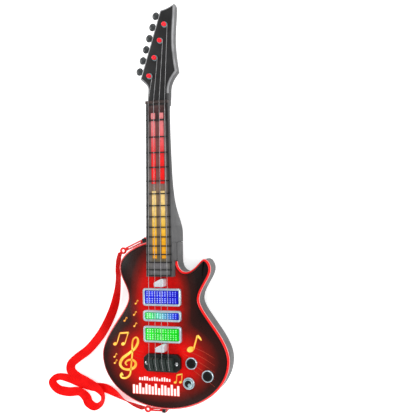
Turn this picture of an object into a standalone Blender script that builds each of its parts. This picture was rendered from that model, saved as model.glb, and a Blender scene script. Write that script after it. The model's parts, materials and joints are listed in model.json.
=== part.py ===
"""Toy electric guitar with three light panels, a lit fingerboard and a ribbon strap.

The guitar lies on its back. +X is the horn side, +Y runs up the neck to the headstock and +Z comes out
of the face. The origin is on the plane the guitar rests on, under its middle. All sizes are in metres.
"""

import math

import bmesh
import bpy
from mathutils import Matrix, Vector

# Clearances and walls
GAP = 0.0003
WALL = 0.0022
STEM_CLEARANCE = 0.0004

# Body, from back (z = 0) to face
FACE_Z = 0.0310
BACK_SHELL_TOP = 0.0267
BACK_FLOOR = 0.0024
BACK_EDGE_ROUND = 0.0040
FACE_PLATE_LOW = 0.0283
RIM_WIDTH = 0.0030

# Body outline: each node is x, y, direction of travel in degrees, and the lengths of its two handles.
# The loop runs from the left of the neck down the left side, and back up the right side to the neck.
BODY_NODES = [
    (-0.0210, -0.0450, 180, 0.0000, 0.0080),
    (-0.0635, -0.0795, 270, 0.0220, 0.0160),
    (-0.0510, -0.1205, 270, 0.0160, 0.0180),
    (-0.0916, -0.2015, 270, 0.0300, 0.0380),
    (0.0000, -0.2710, 0, 0.0510, 0.0510),
    (0.0916, -0.2015, 90, 0.0380, 0.0300),
    (0.0510, -0.1215, 90, 0.0180, 0.0140),
    (0.0678, -0.0805, 90, 0.0120, 0.0060),
    (0.0590, -0.0675, 175, 0.0050, 0.0050),
    (0.0330, -0.0850, 180, 0.0120, 0.0070),
    (0.0210, -0.0700, 90, 0.0080, 0.0000),
]
BODY_STEPS = 7
TONGUE_CORNER = (0.0210, -0.0450)

# Neck and fingerboard
NECK_TOP_Z = 0.0410
NECK_END_Y = -0.0903
NUT_Y = (0.1424, 0.1464)
NUT_TOP_Z = 0.0422
NUT_SLOT_Z = 0.0370
NECK_HALF_AT_NUT = 0.01575
NECK_HALF_AT_END = 0.0191
LIP = 0.0019
CHANNEL_FLOOR_Z = 0.0332
LENS_Z = (0.0384, 0.0407)
LIGHT_BOARD_Z = (0.0335, 0.0349)
LIGHT_BAR_Z = (0.0352, 0.0380)
FRET_Z = (0.0413, 0.0421)
FRET_WIDTH = 0.0016
FRET_COUNT = 14
FRET_ORIGIN_Y = 0.1443
FIRST_FRET_GAP = 0.0242
FRET_RATIO = 0.9336

# Neck sections: y, height of the lower side edge, height of the underside, half width at the side edge
NECK_SECTIONS = [
    (-0.0903, 0.0285, 0.0270, 0.0191),
    (-0.0701, 0.0285, 0.0270, 0.0188),
    (-0.0685, 0.0285, 0.0270, 0.0207),
    (-0.0449, 0.0285, 0.0270, 0.0207),
    (-0.0445, 0.0016, 0.0004, 0.0207),
    (-0.0290, 0.0020, 0.0004, 0.0206),
    (-0.0200, 0.0060, 0.0028, 0.0202),
    (-0.0100, 0.0130, 0.0084, 0.0195),
    (0.0000, 0.0195, 0.0146, 0.0188),
    (0.0120, 0.0250, 0.0200, 0.0182),
    (0.0280, 0.0290, 0.0240, 0.0177),
    (0.0500, 0.0317, 0.0262, 0.0172),
    (0.0950, 0.0338, 0.0282, 0.0165),
    (0.1280, 0.0336, 0.0276, 0.0160),
    (0.1462, 0.0318, 0.0250, 0.0160),
]

# Headstock
HEAD_Z = (0.0240, 0.0380)
HEAD_PLATE_Z = (0.0383, 0.0396)
HEAD_PLATE_INSET = 0.0026
HEAD_EDGE_CHAMFER = 0.0020
HEAD_LOW_LEFT = (-0.0250, 0.1770)
HEAD_TOP_LEFT = (0.0055, 0.2684)
# Each node is x, y and its two handles, given as offsets from the node.
HEAD_NODES = [
    (-0.0150, 0.1400, 0.0000, 0.0000, 0.0002, 0.0080),
    (-0.0137, 0.1620, -0.0004, -0.0070, 0.0003, 0.0060),
    (*HEAD_LOW_LEFT, 0.0066, -0.0056, 0.0000, 0.0000),
    (*HEAD_TOP_LEFT, 0.0000, 0.0000, 0.0060, 0.0008),
    (0.0250, 0.2757, -0.0060, -0.0042, 0.0000, 0.0000),
    (0.0264, 0.2716, 0.0000, 0.0000, -0.0004, -0.0150),
    (0.0238, 0.2260, 0.0000, 0.0150, 0.0000, -0.0140),
    (0.0281, 0.1845, -0.0016, 0.0080, -0.0080, -0.0090),
    (0.0160, 0.1580, 0.0000, 0.0110, 0.0000, -0.0060),
    (0.0150, 0.1400, 0.0003, 0.0080, 0.0000, 0.0000),
]
HEAD_STEPS = 5
TUNER_COUNT = 6
TUNER_Z = 0.0310
TUNER_PITCH = 0.01560
TUNER_EDGE_OFFSET = 0.0103
POSTS = [(0.0128, 0.2475), (0.0060, 0.2264), (-0.0020, 0.2038), (-0.0099, 0.1798)]
POST_RADIUS = 0.00365
POST_STEM_RADIUS = 0.0015

# Light panels: name, upper edge, lower edge
PANELS = [("upper", -0.1066, -0.1306), ("middle", -0.1365, -0.1516), ("lower", -0.1577, -0.1802)]
PANEL_WIDTH = 0.0545
PANEL_CORNER = 0.0045
PANEL_BORDER = 0.0030
PANEL_FRAME_Z = (0.0313, 0.0360)
PANEL_LENS_Z = (0.0313, 0.0350)
PANEL_WINDOW_INSET = 0.0060

# Bridge and strings
BRIDGE_Y = (-0.2188, -0.1950)
BRIDGE_HALF_WIDTH = 0.0260
BRIDGE_CHAMFER = 0.0050
BRIDGE_Z = (0.0313, 0.0385)
BRIDGE_SCREW_X = 0.0213
BRIDGE_SCREW_Y = -0.2070
SADDLE_SIZE = (0.0080, 0.0180)
SADDLE_BACK_Y = -0.2168
SADDLE_CREST_Z = 0.0474
STRING_RADIUS = 0.00045
BRIDGE_STRINGS_X = (-0.0144, -0.0052, 0.0040, 0.0132)
NUT_STRINGS_X = (-0.0115, -0.0037, 0.0043, 0.0121)
GUIDES = [("upper", -0.0983), ("lower", -0.1860)]
GUIDE_TOP_Z = 0.0440

# Buttons: name, x, y
BUTTONS = [("a", 0.0400, -0.2065), ("b", 0.0626, -0.2225), ("c", 0.0360, -0.2335)]
BUTTON_HOLE_RADIUS = 0.0064

# Inside the body
BOARD_Z = (0.0204, 0.0220)
BATTERY_CENTRE_Y = -0.1480
CELL_RADIUS = 0.0071
CELL_LENGTH = 0.0500
CELL_PITCH = 0.0148
CELL_Z = 0.0100
BOX_Z = (0.0027, 0.0190)
BOX_X = (-0.0290, 0.0370)
BOX_HALF_Y = 0.0240
HATCH_X = (-0.0270, 0.0370)
HATCH_HALF_Y = 0.0225
DOOR_Z = (0.0003, 0.0022)
DOOR_SCREW_X = 0.0330
SPEAKER_Y = -0.2260

# Strap: x, y, height of the ribbon's centre line and its roll in degrees, 0 flat and 90 on edge
STRAP_WIDTH = 0.0130
STRAP_THICKNESS = 0.0012
STRAP_POINTS_PER_LEG = 2
STRAP_ROUTE = [
    (-0.0680, -0.0590, 0.0160, 90), (-0.0712, -0.0690, 0.0150, 95), (-0.0728, -0.0820, 0.0125, 104),
    (-0.0745, -0.0950, 0.0098, 97), (-0.0771, -0.1130, 0.0078, 108), (-0.0827, -0.1350, 0.0062, 134),
    (-0.0926, -0.1570, 0.0052, 150), (-0.1066, -0.1790, 0.0040, 165), (-0.1256, -0.2000, 0.0032, 178),
    (-0.1430, -0.2130, 0.0046, 164), (-0.1525, -0.2220, 0.0066, 146), (-0.1525, -0.2320, 0.0074, 144),
    (-0.1430, -0.2405, 0.0066, 163), (-0.1290, -0.2470, 0.0048, 182), (-0.1150, -0.2550, 0.0037, 188),
    (-0.1050, -0.2640, 0.0046, 210), (-0.1050, -0.2750, 0.0060, 228), (-0.1150, -0.2820, 0.0064, 232),
    (-0.1255, -0.2775, 0.0062, 226), (-0.1310, -0.2690, 0.0048, 202), (-0.1430, -0.2625, 0.0034, 174),
    (-0.1590, -0.2640, 0.0032, 192), (-0.1750, -0.2605, 0.0060, 226), (-0.1840, -0.2500, 0.0068, 242),
    (-0.1750, -0.2425, 0.0050, 214), (-0.1590, -0.2450, 0.0018, 188), (-0.1400, -0.2510, 0.0009, 180),
    (-0.1200, -0.2550, 0.0010, 180), (-0.1010, -0.2560, 0.0012, 180), (-0.0840, -0.2620, 0.0038, 205),
    (-0.0690, -0.2690, 0.0068, 240), (-0.0550, -0.2735, 0.0088, 262), (-0.0440, -0.2755, 0.0122, 270),
    (-0.0350, -0.2765, 0.0155, 270),
]
CLIP_Z = (0.0148, 0.0172)
EYELET_TOP = (-0.0285, -0.0465, 105)
EYELET_BOTTOM = (-0.0040, -0.2709, 268)
EYELET_REACH = 0.0072
EYELET_PIN = 0.0052
EYELET_PIN_RADIUS = 0.0012


# ---------------------------------------------------------------- scene and materials


def new_collection(name):
    made = bpy.data.collections.new(name)
    bpy.context.scene.collection.children.link(made)
    return made


def clear_scene():
    for obj in list(bpy.data.objects):
        bpy.data.objects.remove(obj, do_unlink=True)


clear_scene()
PARTS = new_collection("toy_guitar")
CUTTERS = new_collection("cutters")


def material(name, color, roughness, metallic=0.0):
    """A Principled material, made once and shared by the parts that ask for it."""
    made = bpy.data.materials.get(name)
    if made is None:
        made = bpy.data.materials.new(name)
        made.use_nodes = True
        shader = made.node_tree.nodes["Principled BSDF"]
        shader.inputs["Base Color"].default_value = (*color, 1.0)
        shader.inputs["Roughness"].default_value = roughness
        shader.inputs["Metallic"].default_value = metallic
    return made


BLACK_GLOSS = material("black_gloss", (0.020, 0.018, 0.018), 0.25)
SUNBURST = material("sunburst_face", (0.45, 0.02, 0.015), 0.18)
GREY_SHELL = material("grey_shell", (0.19, 0.19, 0.19), 0.45)
RED_TRIM = material("red_trim", (0.80, 0.02, 0.02), 0.25)
SILVER = material("silver_plating", (0.80, 0.82, 0.84), 0.20, 1.0)
BLUE_LENS = material("blue_lens", (0.02, 0.04, 0.90), 0.20)
CYAN_LENS = material("blue_green_lens", (0.02, 0.55, 0.45), 0.20)
GREEN_LENS = material("green_lens", (0.02, 0.80, 0.05), 0.20)
BRIDGE_BLACK = material("bridge_black", (0.015, 0.018, 0.018), 0.35)
STEEL = material("steel", (0.70, 0.70, 0.70), 0.25, 1.0)
BUTTON_BLACK = material("button_black", (0.012, 0.012, 0.013), 0.50)
BOARD_GREEN = material("board_green", (0.02, 0.22, 0.08), 0.45)
SMOKED = material("smoked_lens", (0.10, 0.09, 0.09), 0.15)
RED_LIGHT = material("red_light", (0.95, 0.05, 0.05), 0.30)
AMBER_LIGHT = material("amber_light", (0.95, 0.55, 0.03), 0.30)
NUT_BROWN = material("nut_brown", (0.045, 0.025, 0.022), 0.40)
CHARCOAL = material("charcoal", (0.035, 0.035, 0.036), 0.40)
POST_RED = material("post_red", (0.85, 0.02, 0.03), 0.12)
STRAP_RED = material("strap_red", (0.78, 0.01, 0.01), 0.70)
CLIP_RED = material("clip_red", (0.75, 0.01, 0.01), 0.30)
CELL_WRAP = material("cell_wrap", (0.10, 0.10, 0.45), 0.35)
PAPER_BLACK = material("speaker_black", (0.02, 0.02, 0.02), 0.80)


# ---------------------------------------------------------------- modelling helpers


def finish(obj, look, smooth_angle=35):
    """Puts an object in the guitar's collection with its material and its shading."""
    if obj.name not in PARTS.objects:
        PARTS.objects.link(obj)
    obj.data.materials.clear()
    obj.data.materials.append(look)
    if obj.type == "MESH":
        obj.data.shade_smooth()
        obj.data.set_sharp_from_angle(angle=math.radians(smooth_angle))
    return obj


def from_bmesh(name, bm):
    mesh = bpy.data.meshes.new(name)
    bm.to_mesh(mesh)
    bm.free()
    return bpy.data.objects.new(name, mesh)


def as_cutter(obj):
    CUTTERS.objects.link(obj)
    obj.hide_render = True
    obj.display_type = "WIRE"
    return obj


def box(name, low, high):
    """A box between two corners."""
    bm = bmesh.new()
    size = [h - l for l, h in zip(low, high)]
    middle = [(h + l) / 2 for l, h in zip(low, high)]
    bmesh.ops.create_cube(bm, size=1.0)
    bmesh.ops.scale(bm, vec=size, verts=bm.verts)
    bmesh.ops.translate(bm, vec=middle, verts=bm.verts)
    return from_bmesh(name, bm)


def merge(name, objects):
    """One loose object from several, for use as a cutter or as a piece that a union joins."""
    bm = bmesh.new()
    for obj in objects:
        mesh = obj.data.copy()
        mesh.transform(obj.matrix_basis)
        bm.from_mesh(mesh)
        bpy.data.meshes.remove(mesh)
        bpy.data.objects.remove(obj)
    return from_bmesh(name, bm)


def rod(name, radius, low, high, x=0.0, y=0.0, sides=20):
    """A cylinder along Z between two heights."""
    bm = bmesh.new()
    bmesh.ops.create_cone(
        bm, cap_ends=True, segments=sides, radius1=radius, radius2=radius, depth=high - low
    )
    bmesh.ops.translate(bm, vec=(x, y, (low + high) / 2), verts=bm.verts)
    return from_bmesh(name, bm)


def turned(name, profile, sides, location=(0, 0, 0)):
    """A profile of (radius, height) turned about Z; it runs from the top down the outer side."""
    mesh = bpy.data.meshes.new(name)
    points = [(radius, 0.0, height) for radius, height in profile]
    loop = profile[0][0] > 0
    edges = [(i, i + 1) for i in range(len(points) - 1)]
    if loop:
        edges.append((len(points) - 1, 0))
    mesh.from_pydata(points, edges, [])
    obj = bpy.data.objects.new(name, mesh)
    obj.location = location
    screw = obj.modifiers.new("Turn", "SCREW")
    screw.axis = "Z"
    screw.steps = sides
    screw.render_steps = sides
    screw.use_merge_vertices = True
    screw.merge_threshold = 0.00001
    screw.use_smooth_shade = True
    return obj


def flat(name, loops, low, high):
    """A flat outline, with a hole for each loop after the first, between two heights."""
    curve = bpy.data.curves.new(name, "CURVE")
    curve.dimensions = "2D"
    curve.fill_mode = "BOTH"
    curve.extrude = (high - low) / 2
    for loop in loops:
        spline = curve.splines.new("POLY")
        spline.points.add(len(loop) - 1)
        for point, (x, y) in zip(spline.points, loop):
            point.co = (x, y, 0.0, 1.0)
        spline.use_cyclic_u = True
    obj = bpy.data.objects.new(name, curve)
    obj.location.z = (low + high) / 2
    return as_mesh(obj)


def as_mesh(curve_obj):
    """The mesh of a curve object, with its caps welded and its flat faces made whole."""
    PARTS.objects.link(curve_obj)
    bpy.context.view_layer.update()
    depsgraph = bpy.context.evaluated_depsgraph_get()
    mesh = bpy.data.meshes.new_from_object(curve_obj.evaluated_get(depsgraph))
    place = curve_obj.matrix_world.copy()
    name = curve_obj.name
    bpy.data.objects.remove(curve_obj)
    bm = bmesh.new()
    bm.from_mesh(mesh)
    bmesh.ops.remove_doubles(bm, verts=bm.verts, dist=0.000005)
    bmesh.ops.dissolve_limit(bm, angle_limit=0.001, verts=bm.verts, edges=bm.edges)
    bmesh.ops.recalc_face_normals(bm, faces=bm.faces)
    bm.to_mesh(mesh)
    bm.free()
    obj = bpy.data.objects.new(name, mesh)
    obj.matrix_world = place
    return obj


def applied(obj):
    """The object with its modifiers applied to its own mesh."""
    if obj.name not in PARTS.objects:
        PARTS.objects.link(obj)
    bpy.context.view_layer.update()
    depsgraph = bpy.context.evaluated_depsgraph_get()
    mesh = bpy.data.meshes.new_from_object(obj.evaluated_get(depsgraph))
    obj.modifiers.clear()
    obj.data = mesh
    return obj


def boolean(obj, operation, others):
    for other in others:
        if other.name not in CUTTERS.objects:
            as_cutter(other)
        cut = obj.modifiers.new(other.name, "BOOLEAN")
        cut.operation = operation
        cut.solver = "EXACT"
        cut.object = other
    return obj


def round_edges(obj, width, segments, picked=None):
    """Rounds the sharp edges of a mesh, or only those whose two ends satisfy a test."""
    bm = bmesh.new()
    bm.from_mesh(obj.data)
    sharp = [e for e in bm.edges if e.is_manifold and e.calc_face_angle(0.0) > math.radians(40)]
    if picked:
        sharp = [e for e in sharp if all(picked(v.co) for v in e.verts)]
    bmesh.ops.bevel(bm, geom=sharp, offset=width, segments=segments, profile=0.5, affect="EDGES")
    bm.to_mesh(obj.data)
    bm.free()
    return obj


def bezier_loop(nodes, steps):
    """Points along a closed chain of cubic curves; a node is x, y and its two handle offsets."""
    points = []
    for (x0, y0, _, _, ax, ay), (x3, y3, bx, by, _, _) in zip(nodes, nodes[1:] + nodes[:1]):
        x1, y1, x2, y2 = x0 + ax, y0 + ay, x3 + bx, y3 + by
        straight = abs((x1 - x0) * (y3 - y0) - (y1 - y0) * (x3 - x0)) < 1e-9
        straight = straight and abs((x2 - x3) * (y3 - y0) - (y2 - y3) * (x3 - x0)) < 1e-9
        for k in range(1 if straight else steps):
            t = k / steps
            a, b, c, d = (1 - t) ** 3, 3 * t * (1 - t) ** 2, 3 * t * t * (1 - t), t**3
            points.append((a * x0 + b * x1 + c * x2 + d * x3, a * y0 + b * y1 + c * y2 + d * y3))
    return points


def with_directions(nodes):
    """Turns nodes with a direction and two handle lengths into nodes with handle offsets."""
    made = []
    for x, y, degrees, before, after in nodes:
        dx, dy = math.cos(math.radians(degrees)), math.sin(math.radians(degrees))
        made.append((x, y, -before * dx, -before * dy, after * dx, after * dy))
    return made


def inset(loop, distance):
    """A counter-clockwise loop moved inward by a distance, with its corners mitred."""
    moved = []
    for before, here, after in zip(loop[-1:] + loop[:-1], loop, loop[1:] + loop[:1]):
        into = (Vector(here) - Vector(before)).normalized()
        out = (Vector(after) - Vector(here)).normalized()
        normal = Vector((-into.y - out.y, into.x + out.x)).normalized()
        reach = distance / max(0.35, normal.dot(Vector((-into.y, into.x))))
        moved.append((here[0] + normal.x * reach, here[1] + normal.y * reach))
    return moved


def rounded_rectangle(low, high, radius, steps=4):
    """A counter-clockwise rectangle with quarter-circle corners."""
    points = []
    corners = [(high[0], high[1], 0), (low[0], high[1], 90), (low[0], low[1], 180), (high[0], low[1], 270)]
    for x, y, start in corners:
        cx = x - math.copysign(radius, x - (low[0] + high[0]) / 2)
        cy = y - math.copysign(radius, y - (low[1] + high[1]) / 2)
        for k in range(steps + 1):
            angle = math.radians(start + 90 * k / steps)
            points.append((cx + radius * math.cos(angle), cy + radius * math.sin(angle)))
    return points


def circle(x, y, radius, steps):
    return [
        (x + radius * math.cos(2 * math.pi * k / steps), y + radius * math.sin(2 * math.pi * k / steps))
        for k in range(steps)
    ]


def loft(name, sections):
    """A closed solid through sections, each a list of as many points, with flat ends."""
    bm = bmesh.new()
    rings = [[bm.verts.new(point) for point in section] for section in sections]
    for a, b in zip(rings, rings[1:]):
        for i in range(len(a)):
            j = (i + 1) % len(a)
            bm.faces.new((a[i], a[j], b[j], b[i]))
    bm.faces.new(rings[0])
    bm.faces.new(rings[-1])
    bmesh.ops.recalc_face_normals(bm, faces=bm.faces)
    return from_bmesh(name, bm)


# ---------------------------------------------------------------- body


BODY_LOOP = bezier_loop(with_directions(BODY_NODES) + [(*TONGUE_CORNER, 0, 0, 0, 0)], BODY_STEPS)


def neck_slot():
    """The space that the neck's tail takes out of the face plate and the rim."""
    tail = box(
        "neck_slot_tail",
        (-NECK_HALF_AT_END - GAP, NECK_END_Y - GAP, 0.0200),
        (NECK_HALF_AT_END + GAP, -0.0200, 0.0600),
    )
    tongue = box("neck_slot_tongue", (-0.0216, -0.0704, 0.0200), (0.0216, -0.0200, 0.0600))
    return [as_cutter(tail), as_cutter(tongue)]


def body_back_shell():
    """The tray that makes the back and the sides, with its hatch, grille and screw posts."""
    shell = flat("body_back_shell", [BODY_LOOP], 0.0, BACK_SHELL_TOP)
    shell.data.transform(shell.matrix_basis)
    shell.matrix_basis = Matrix()
    round_edges(shell, BACK_EDGE_ROUND, 3, lambda co: co.z < 0.0001)
    cavity = flat("body_cavity", [inset(BODY_LOOP, WALL)], BACK_FLOOR, 0.0400)
    hatch = box("hatch_opening", (HATCH_X[0], BATTERY_CENTRE_Y - HATCH_HALF_Y, -0.01),
                (HATCH_X[1], BATTERY_CENTRE_Y + HATCH_HALF_Y, 0.01))
    slots = []
    for k in range(7):
        x = (k - 3) * 0.0056
        reach = math.sqrt(0.0190**2 - x * x)
        low, high = (x - 0.0013, SPEAKER_Y - reach, -0.01), (x + 0.0013, SPEAKER_Y + reach, 0.01)
        slots.append(box(f"slot_{k}", low, high))
    posts = [
        rod(f"post_{k}", 0.0030, BACK_FLOOR - 0.0008, FACE_PLATE_LOW - GAP, x, y, 12)
        for k, (x, y) in enumerate([(-0.072, -0.200), (0.080, -0.185), (-0.045, -0.085), (0.048, -0.090)])
    ]
    boolean(shell, "DIFFERENCE", [cavity, hatch, merge("grille_slots", slots)])
    boolean(shell, "UNION", [merge("screw_posts", posts)])
    return finish(shell, GREY_SHELL)


def face_plate(slot):
    """The printed front, with windows for the lights and holes for the buttons and screws."""
    plate = flat("face_plate", [inset(BODY_LOOP, RIM_WIDTH + GAP)], FACE_PLATE_LOW, FACE_Z)
    openings = []
    half = PANEL_WIDTH / 2 - PANEL_WINDOW_INSET
    for name, top, bottom in PANELS:
        low = (-half, bottom + PANEL_WINDOW_INSET, 0.02)
        high = (half, top - PANEL_WINDOW_INSET, 0.04)
        openings.append(box(f"window_{name}", low, high))
    for name, x, y in BUTTONS:
        openings.append(rod(f"button_hole_{name}", BUTTON_HOLE_RADIUS, 0.02, 0.04, x, y, 24))
    for side in (-1, 1):
        x = side * BRIDGE_SCREW_X
        openings.append(rod(f"screw_hole_{side}", 0.0018, 0.02, 0.04, x, BRIDGE_SCREW_Y, 12))
    boolean(plate, "DIFFERENCE", [merge("face_openings", openings), *slot])
    return finish(plate, SUNBURST)


def rim_trim(slot):
    """The red band round the face."""
    low, high = BACK_SHELL_TOP + GAP, FACE_Z + 0.0002
    rim = flat("rim_trim", [BODY_LOOP, inset(BODY_LOOP, RIM_WIDTH)], low, high)
    rim.data.transform(rim.matrix_basis)
    rim.matrix_basis = Matrix()
    boolean(rim, "DIFFERENCE", slot)
    return finish(rim, RED_TRIM)


def light_panel(name, top, bottom, look):
    """A plated frame and the lens inside it."""
    half = PANEL_WIDTH / 2
    outer = rounded_rectangle((-half, bottom), (half, top), PANEL_CORNER)
    inner = inset(outer, PANEL_BORDER)
    frame = flat(f"panel_frame_{name}", [outer, inner], *PANEL_FRAME_Z)
    round_edges(frame, 0.0008, 1, lambda co: co.z > 0.001)
    finish(frame, SILVER)
    lens = flat(f"panel_lens_{name}", [inset(outer, PANEL_BORDER + GAP)], *PANEL_LENS_Z)
    return finish(lens, look)


def button(name, x, y, look):
    """A silver ring on the face, and the cap that moves down through it."""
    ring = [
        (0.0068, 0.0336), (0.0076, 0.0336), (0.0080, 0.0331), (0.0080, 0.0313), (0.0064, 0.0313), (0.0064, 0.0332),
    ]
    cap = [
        (0.0, 0.0353), (0.0044, 0.0351), (0.0056, 0.0347), (0.0060, 0.0340), (0.0060, 0.0280),
        (0.0072, 0.0280), (0.0072, 0.0265), (0.0018, 0.0265), (0.0018, 0.0258), (0.0, 0.0258),
    ]
    finish(turned(f"button_ring_{name}", ring, 22, (x, y, 0)), SILVER)
    finish(turned(f"button_cap_{name}", cap, 20, (x, y, 0)), look)


# ---------------------------------------------------------------- inside the body


def main_board():
    """The circuit board under the light panels and the buttons."""
    outline = [
        (-0.030, -0.190), (0.022, -0.190), (0.022, -0.246), (0.044, -0.246), (0.074, -0.232),
        (0.074, -0.196), (0.030, -0.186), (0.030, -0.098), (-0.030, -0.098),
    ]
    board = flat("main_board", [outline], *BOARD_Z)
    parts = []
    for name, top, bottom in PANELS:
        for side in (-1, 1):
            middle = (top + bottom) / 2
            parts.append(rod(f"led_{name}_{side}", 0.0025, 0.0215, 0.0245, side * 0.012, middle, 10))
    for name, x, y in BUTTONS:
        parts.append(box(f"switch_{name}", (x - 0.003, y - 0.003, 0.0215), (x + 0.003, y + 0.003, 0.0239)))
    boolean(board, "UNION", [merge("board_parts", parts)])
    return finish(board, BOARD_GREEN)


def speaker():
    """The loudspeaker behind the grille, with its cone facing the back."""
    profile = [
        (0.0, 0.0170), (0.0110, 0.0170), (0.0115, 0.0165), (0.0115, 0.0120), (0.0200, 0.0080),
        (0.0245, 0.0060), (0.0250, 0.0030), (0.0235, 0.0027), (0.0200, 0.0040), (0.0080, 0.0072), (0.0, 0.0064),
    ]
    return finish(turned("speaker", profile, 20, (0, SPEAKER_Y, 0)), PAPER_BLACK)


def battery_bay():
    """The open box over the hatch, its three cells, and the door with its captive screw."""
    y0, y1 = BATTERY_CENTRE_Y - BOX_HALF_Y, BATTERY_CENTRE_Y + BOX_HALF_Y
    bay = box("battery_box", (BOX_X[0], y0, BOX_Z[0]), (BOX_X[1], y1, BOX_Z[1]))
    hollow = box("bay_hollow", (-0.0272, y0 + 0.0014, -0.01), (0.0272, y1 - 0.0014, BOX_Z[1] - 0.0014))
    boss_hole = rod("boss_hole", 0.0015, -0.01, 0.0140, DOOR_SCREW_X, BATTERY_CENTRE_Y, 12)
    boolean(bay, "DIFFERENCE", [hollow, boss_hole])
    finish(bay, GREY_SHELL)

    half, cap = CELL_LENGTH / 2, CELL_RADIUS
    cell = [
        (0.0, half), (0.0026, half), (0.0026, half - 0.0012), (cap - 0.0006, half - 0.0012),
        (cap, half - 0.0020), (cap, -half + 0.0006), (cap - 0.0006, -half), (0.0, -half),
    ]
    for k in range(3):
        turn = 90 if k % 2 == 0 else -90
        made = turned(f"battery_cell_{k + 1}", cell, 16, (0, BATTERY_CENTRE_Y + (k - 1) * CELL_PITCH, CELL_Z))
        made.rotation_euler = (0, math.radians(turn), 0)
        finish(made, CELL_WRAP)

    door = box(
        "battery_door",
        (HATCH_X[0] + GAP, BATTERY_CENTRE_Y - HATCH_HALF_Y + GAP, DOOR_Z[0]),
        (HATCH_X[1] - GAP, BATTERY_CENTRE_Y + HATCH_HALF_Y - GAP, DOOR_Z[1]),
    )
    through = rod("door_hole", 0.0016, -0.01, 0.01, DOOR_SCREW_X, BATTERY_CENTRE_Y, 12)
    counterbore = rod("door_counterbore", 0.0030, -0.01, 0.0014, DOOR_SCREW_X, BATTERY_CENTRE_Y, 16)
    boolean(door, "DIFFERENCE", [through, counterbore])
    finish(door, GREY_SHELL)
    screw = [
        (0.0, 0.0100), (0.0011, 0.0094), (0.0011, 0.0011), (0.0026, 0.0011), (0.0026, 0.0004), (0.0, 0.0004),
    ]
    finish(turned("door_screw", screw, 14, (DOOR_SCREW_X, BATTERY_CENTRE_Y, 0)), STEEL)


# ---------------------------------------------------------------- neck and headstock


def neck_half_width(y):
    """Half the width of the neck's top face at a distance along it."""
    along = (NUT_Y[0] - y) / (NUT_Y[0] - NECK_END_Y)
    return NECK_HALF_AT_NUT + along * (NECK_HALF_AT_END - NECK_HALF_AT_NUT)


def neck_section(y, side_z, under_z, half_low, arc_steps=5):
    """Half-round section: flat top, straight sides, and an elliptical underside."""
    half_top = min(neck_half_width(y), half_low)
    points = [(half_top, y, NECK_TOP_Z), (-half_top, y, NECK_TOP_Z)]
    for k in range(arc_steps * 2 + 1):
        angle = math.pi + math.pi * k / (arc_steps * 2)
        x = half_low * math.copysign(abs(math.cos(angle)) ** 0.8, math.cos(angle))
        z = side_z + (side_z - under_z) * math.sin(angle)
        points.append((x, y, z))
    return points


def head_loop():
    return bezier_loop(HEAD_NODES, HEAD_STEPS)


def tuner_places():
    """Where each tuner's shaft leaves the headstock, and the angle that it points at."""
    low, top = Vector(HEAD_LOW_LEFT), Vector(HEAD_TOP_LEFT)
    along = (top - low).normalized()
    outward = Vector((-along.y, along.x))
    first = low + along * TUNER_EDGE_OFFSET
    angle = math.atan2(outward.y, outward.x)
    return [(first + along * TUNER_PITCH * k, angle) for k in range(TUNER_COUNT)]


def shaft(name, radius, start, end, sides=12):
    """A cylinder along X between two places."""
    made = rod(name, radius, start, end, sides=sides)
    made.matrix_basis = Matrix.Rotation(math.radians(90), 4, "Y")
    return made


def neck_shell(post_holes):
    """Neck, heel and headstock in one moulding, with the channel for the lights."""
    shell = flat("neck_shell", [head_loop()], *HEAD_Z)
    round_edges(shell, HEAD_EDGE_CHAMFER, 1)
    neck = loft("neck_core", [neck_section(*section) for section in NECK_SECTIONS])
    channel = []
    for y in (NECK_END_Y + 0.0018, NUT_Y[0] + 0.0005):
        half = neck_half_width(y) - LIP
        floor = CHANNEL_FLOOR_Z
        channel.append([(-half, y, floor), (half, y, floor), (half, y, 0.06), (-half, y, 0.06)])
    well = []
    for y, _, under_z, half_low in NECK_SECTIONS[4:10]:
        half, floor = half_low - 0.0060, under_z + 0.0056
        y = y + (0.0024 if not well else 0.0)
        well.append([(-half, y, floor), (half, y, floor), (half, y, 0.036), (-half, y, 0.036)])
    slot = box("nut_slot", (-0.03, NUT_Y[0] - GAP, NUT_SLOT_Z), (0.03, NUT_Y[1] + GAP, 0.06))
    holes = []
    for k, (place, angle) in enumerate(tuner_places()):
        hole = shaft(f"tuner_hole_{k}", 0.0021, -0.0080, 0.0100)
        turn = Matrix.Rotation(angle, 4, "Z")
        hole.matrix_basis = Matrix.Translation((*place, TUNER_Z)) @ turn @ hole.matrix_basis
        holes.append(hole)
    boolean(shell, "UNION", [neck])
    boolean(shell, "DIFFERENCE", [loft("channel", channel), loft("heel_well", well), slot])
    boolean(shell, "DIFFERENCE", [post_holes, merge("tuner_holes", holes)])
    return finish(shell, GREY_SHELL)


def headstock_plate(post_holes):
    """The charcoal front of the headstock."""
    loop = inset(head_loop()[::-1], HEAD_PLATE_INSET)
    plate = flat("headstock_plate", [loop], *HEAD_PLATE_Z)
    ends = box("plate_end", (-0.03, 0.12, 0.02), (0.03, NUT_Y[1] + 2 * GAP, 0.06))
    boolean(plate, "DIFFERENCE", [ends, post_holes])
    return finish(plate, CHARCOAL)


def fret_lines():
    """Distance along the neck of each fret, its gaps shrinking by a constant ratio."""
    total = FIRST_FRET_GAP / (1 - FRET_RATIO)
    return [FRET_ORIGIN_Y - total * (1 - FRET_RATIO**n) for n in range(1, FRET_COUNT + 1)]


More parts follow.
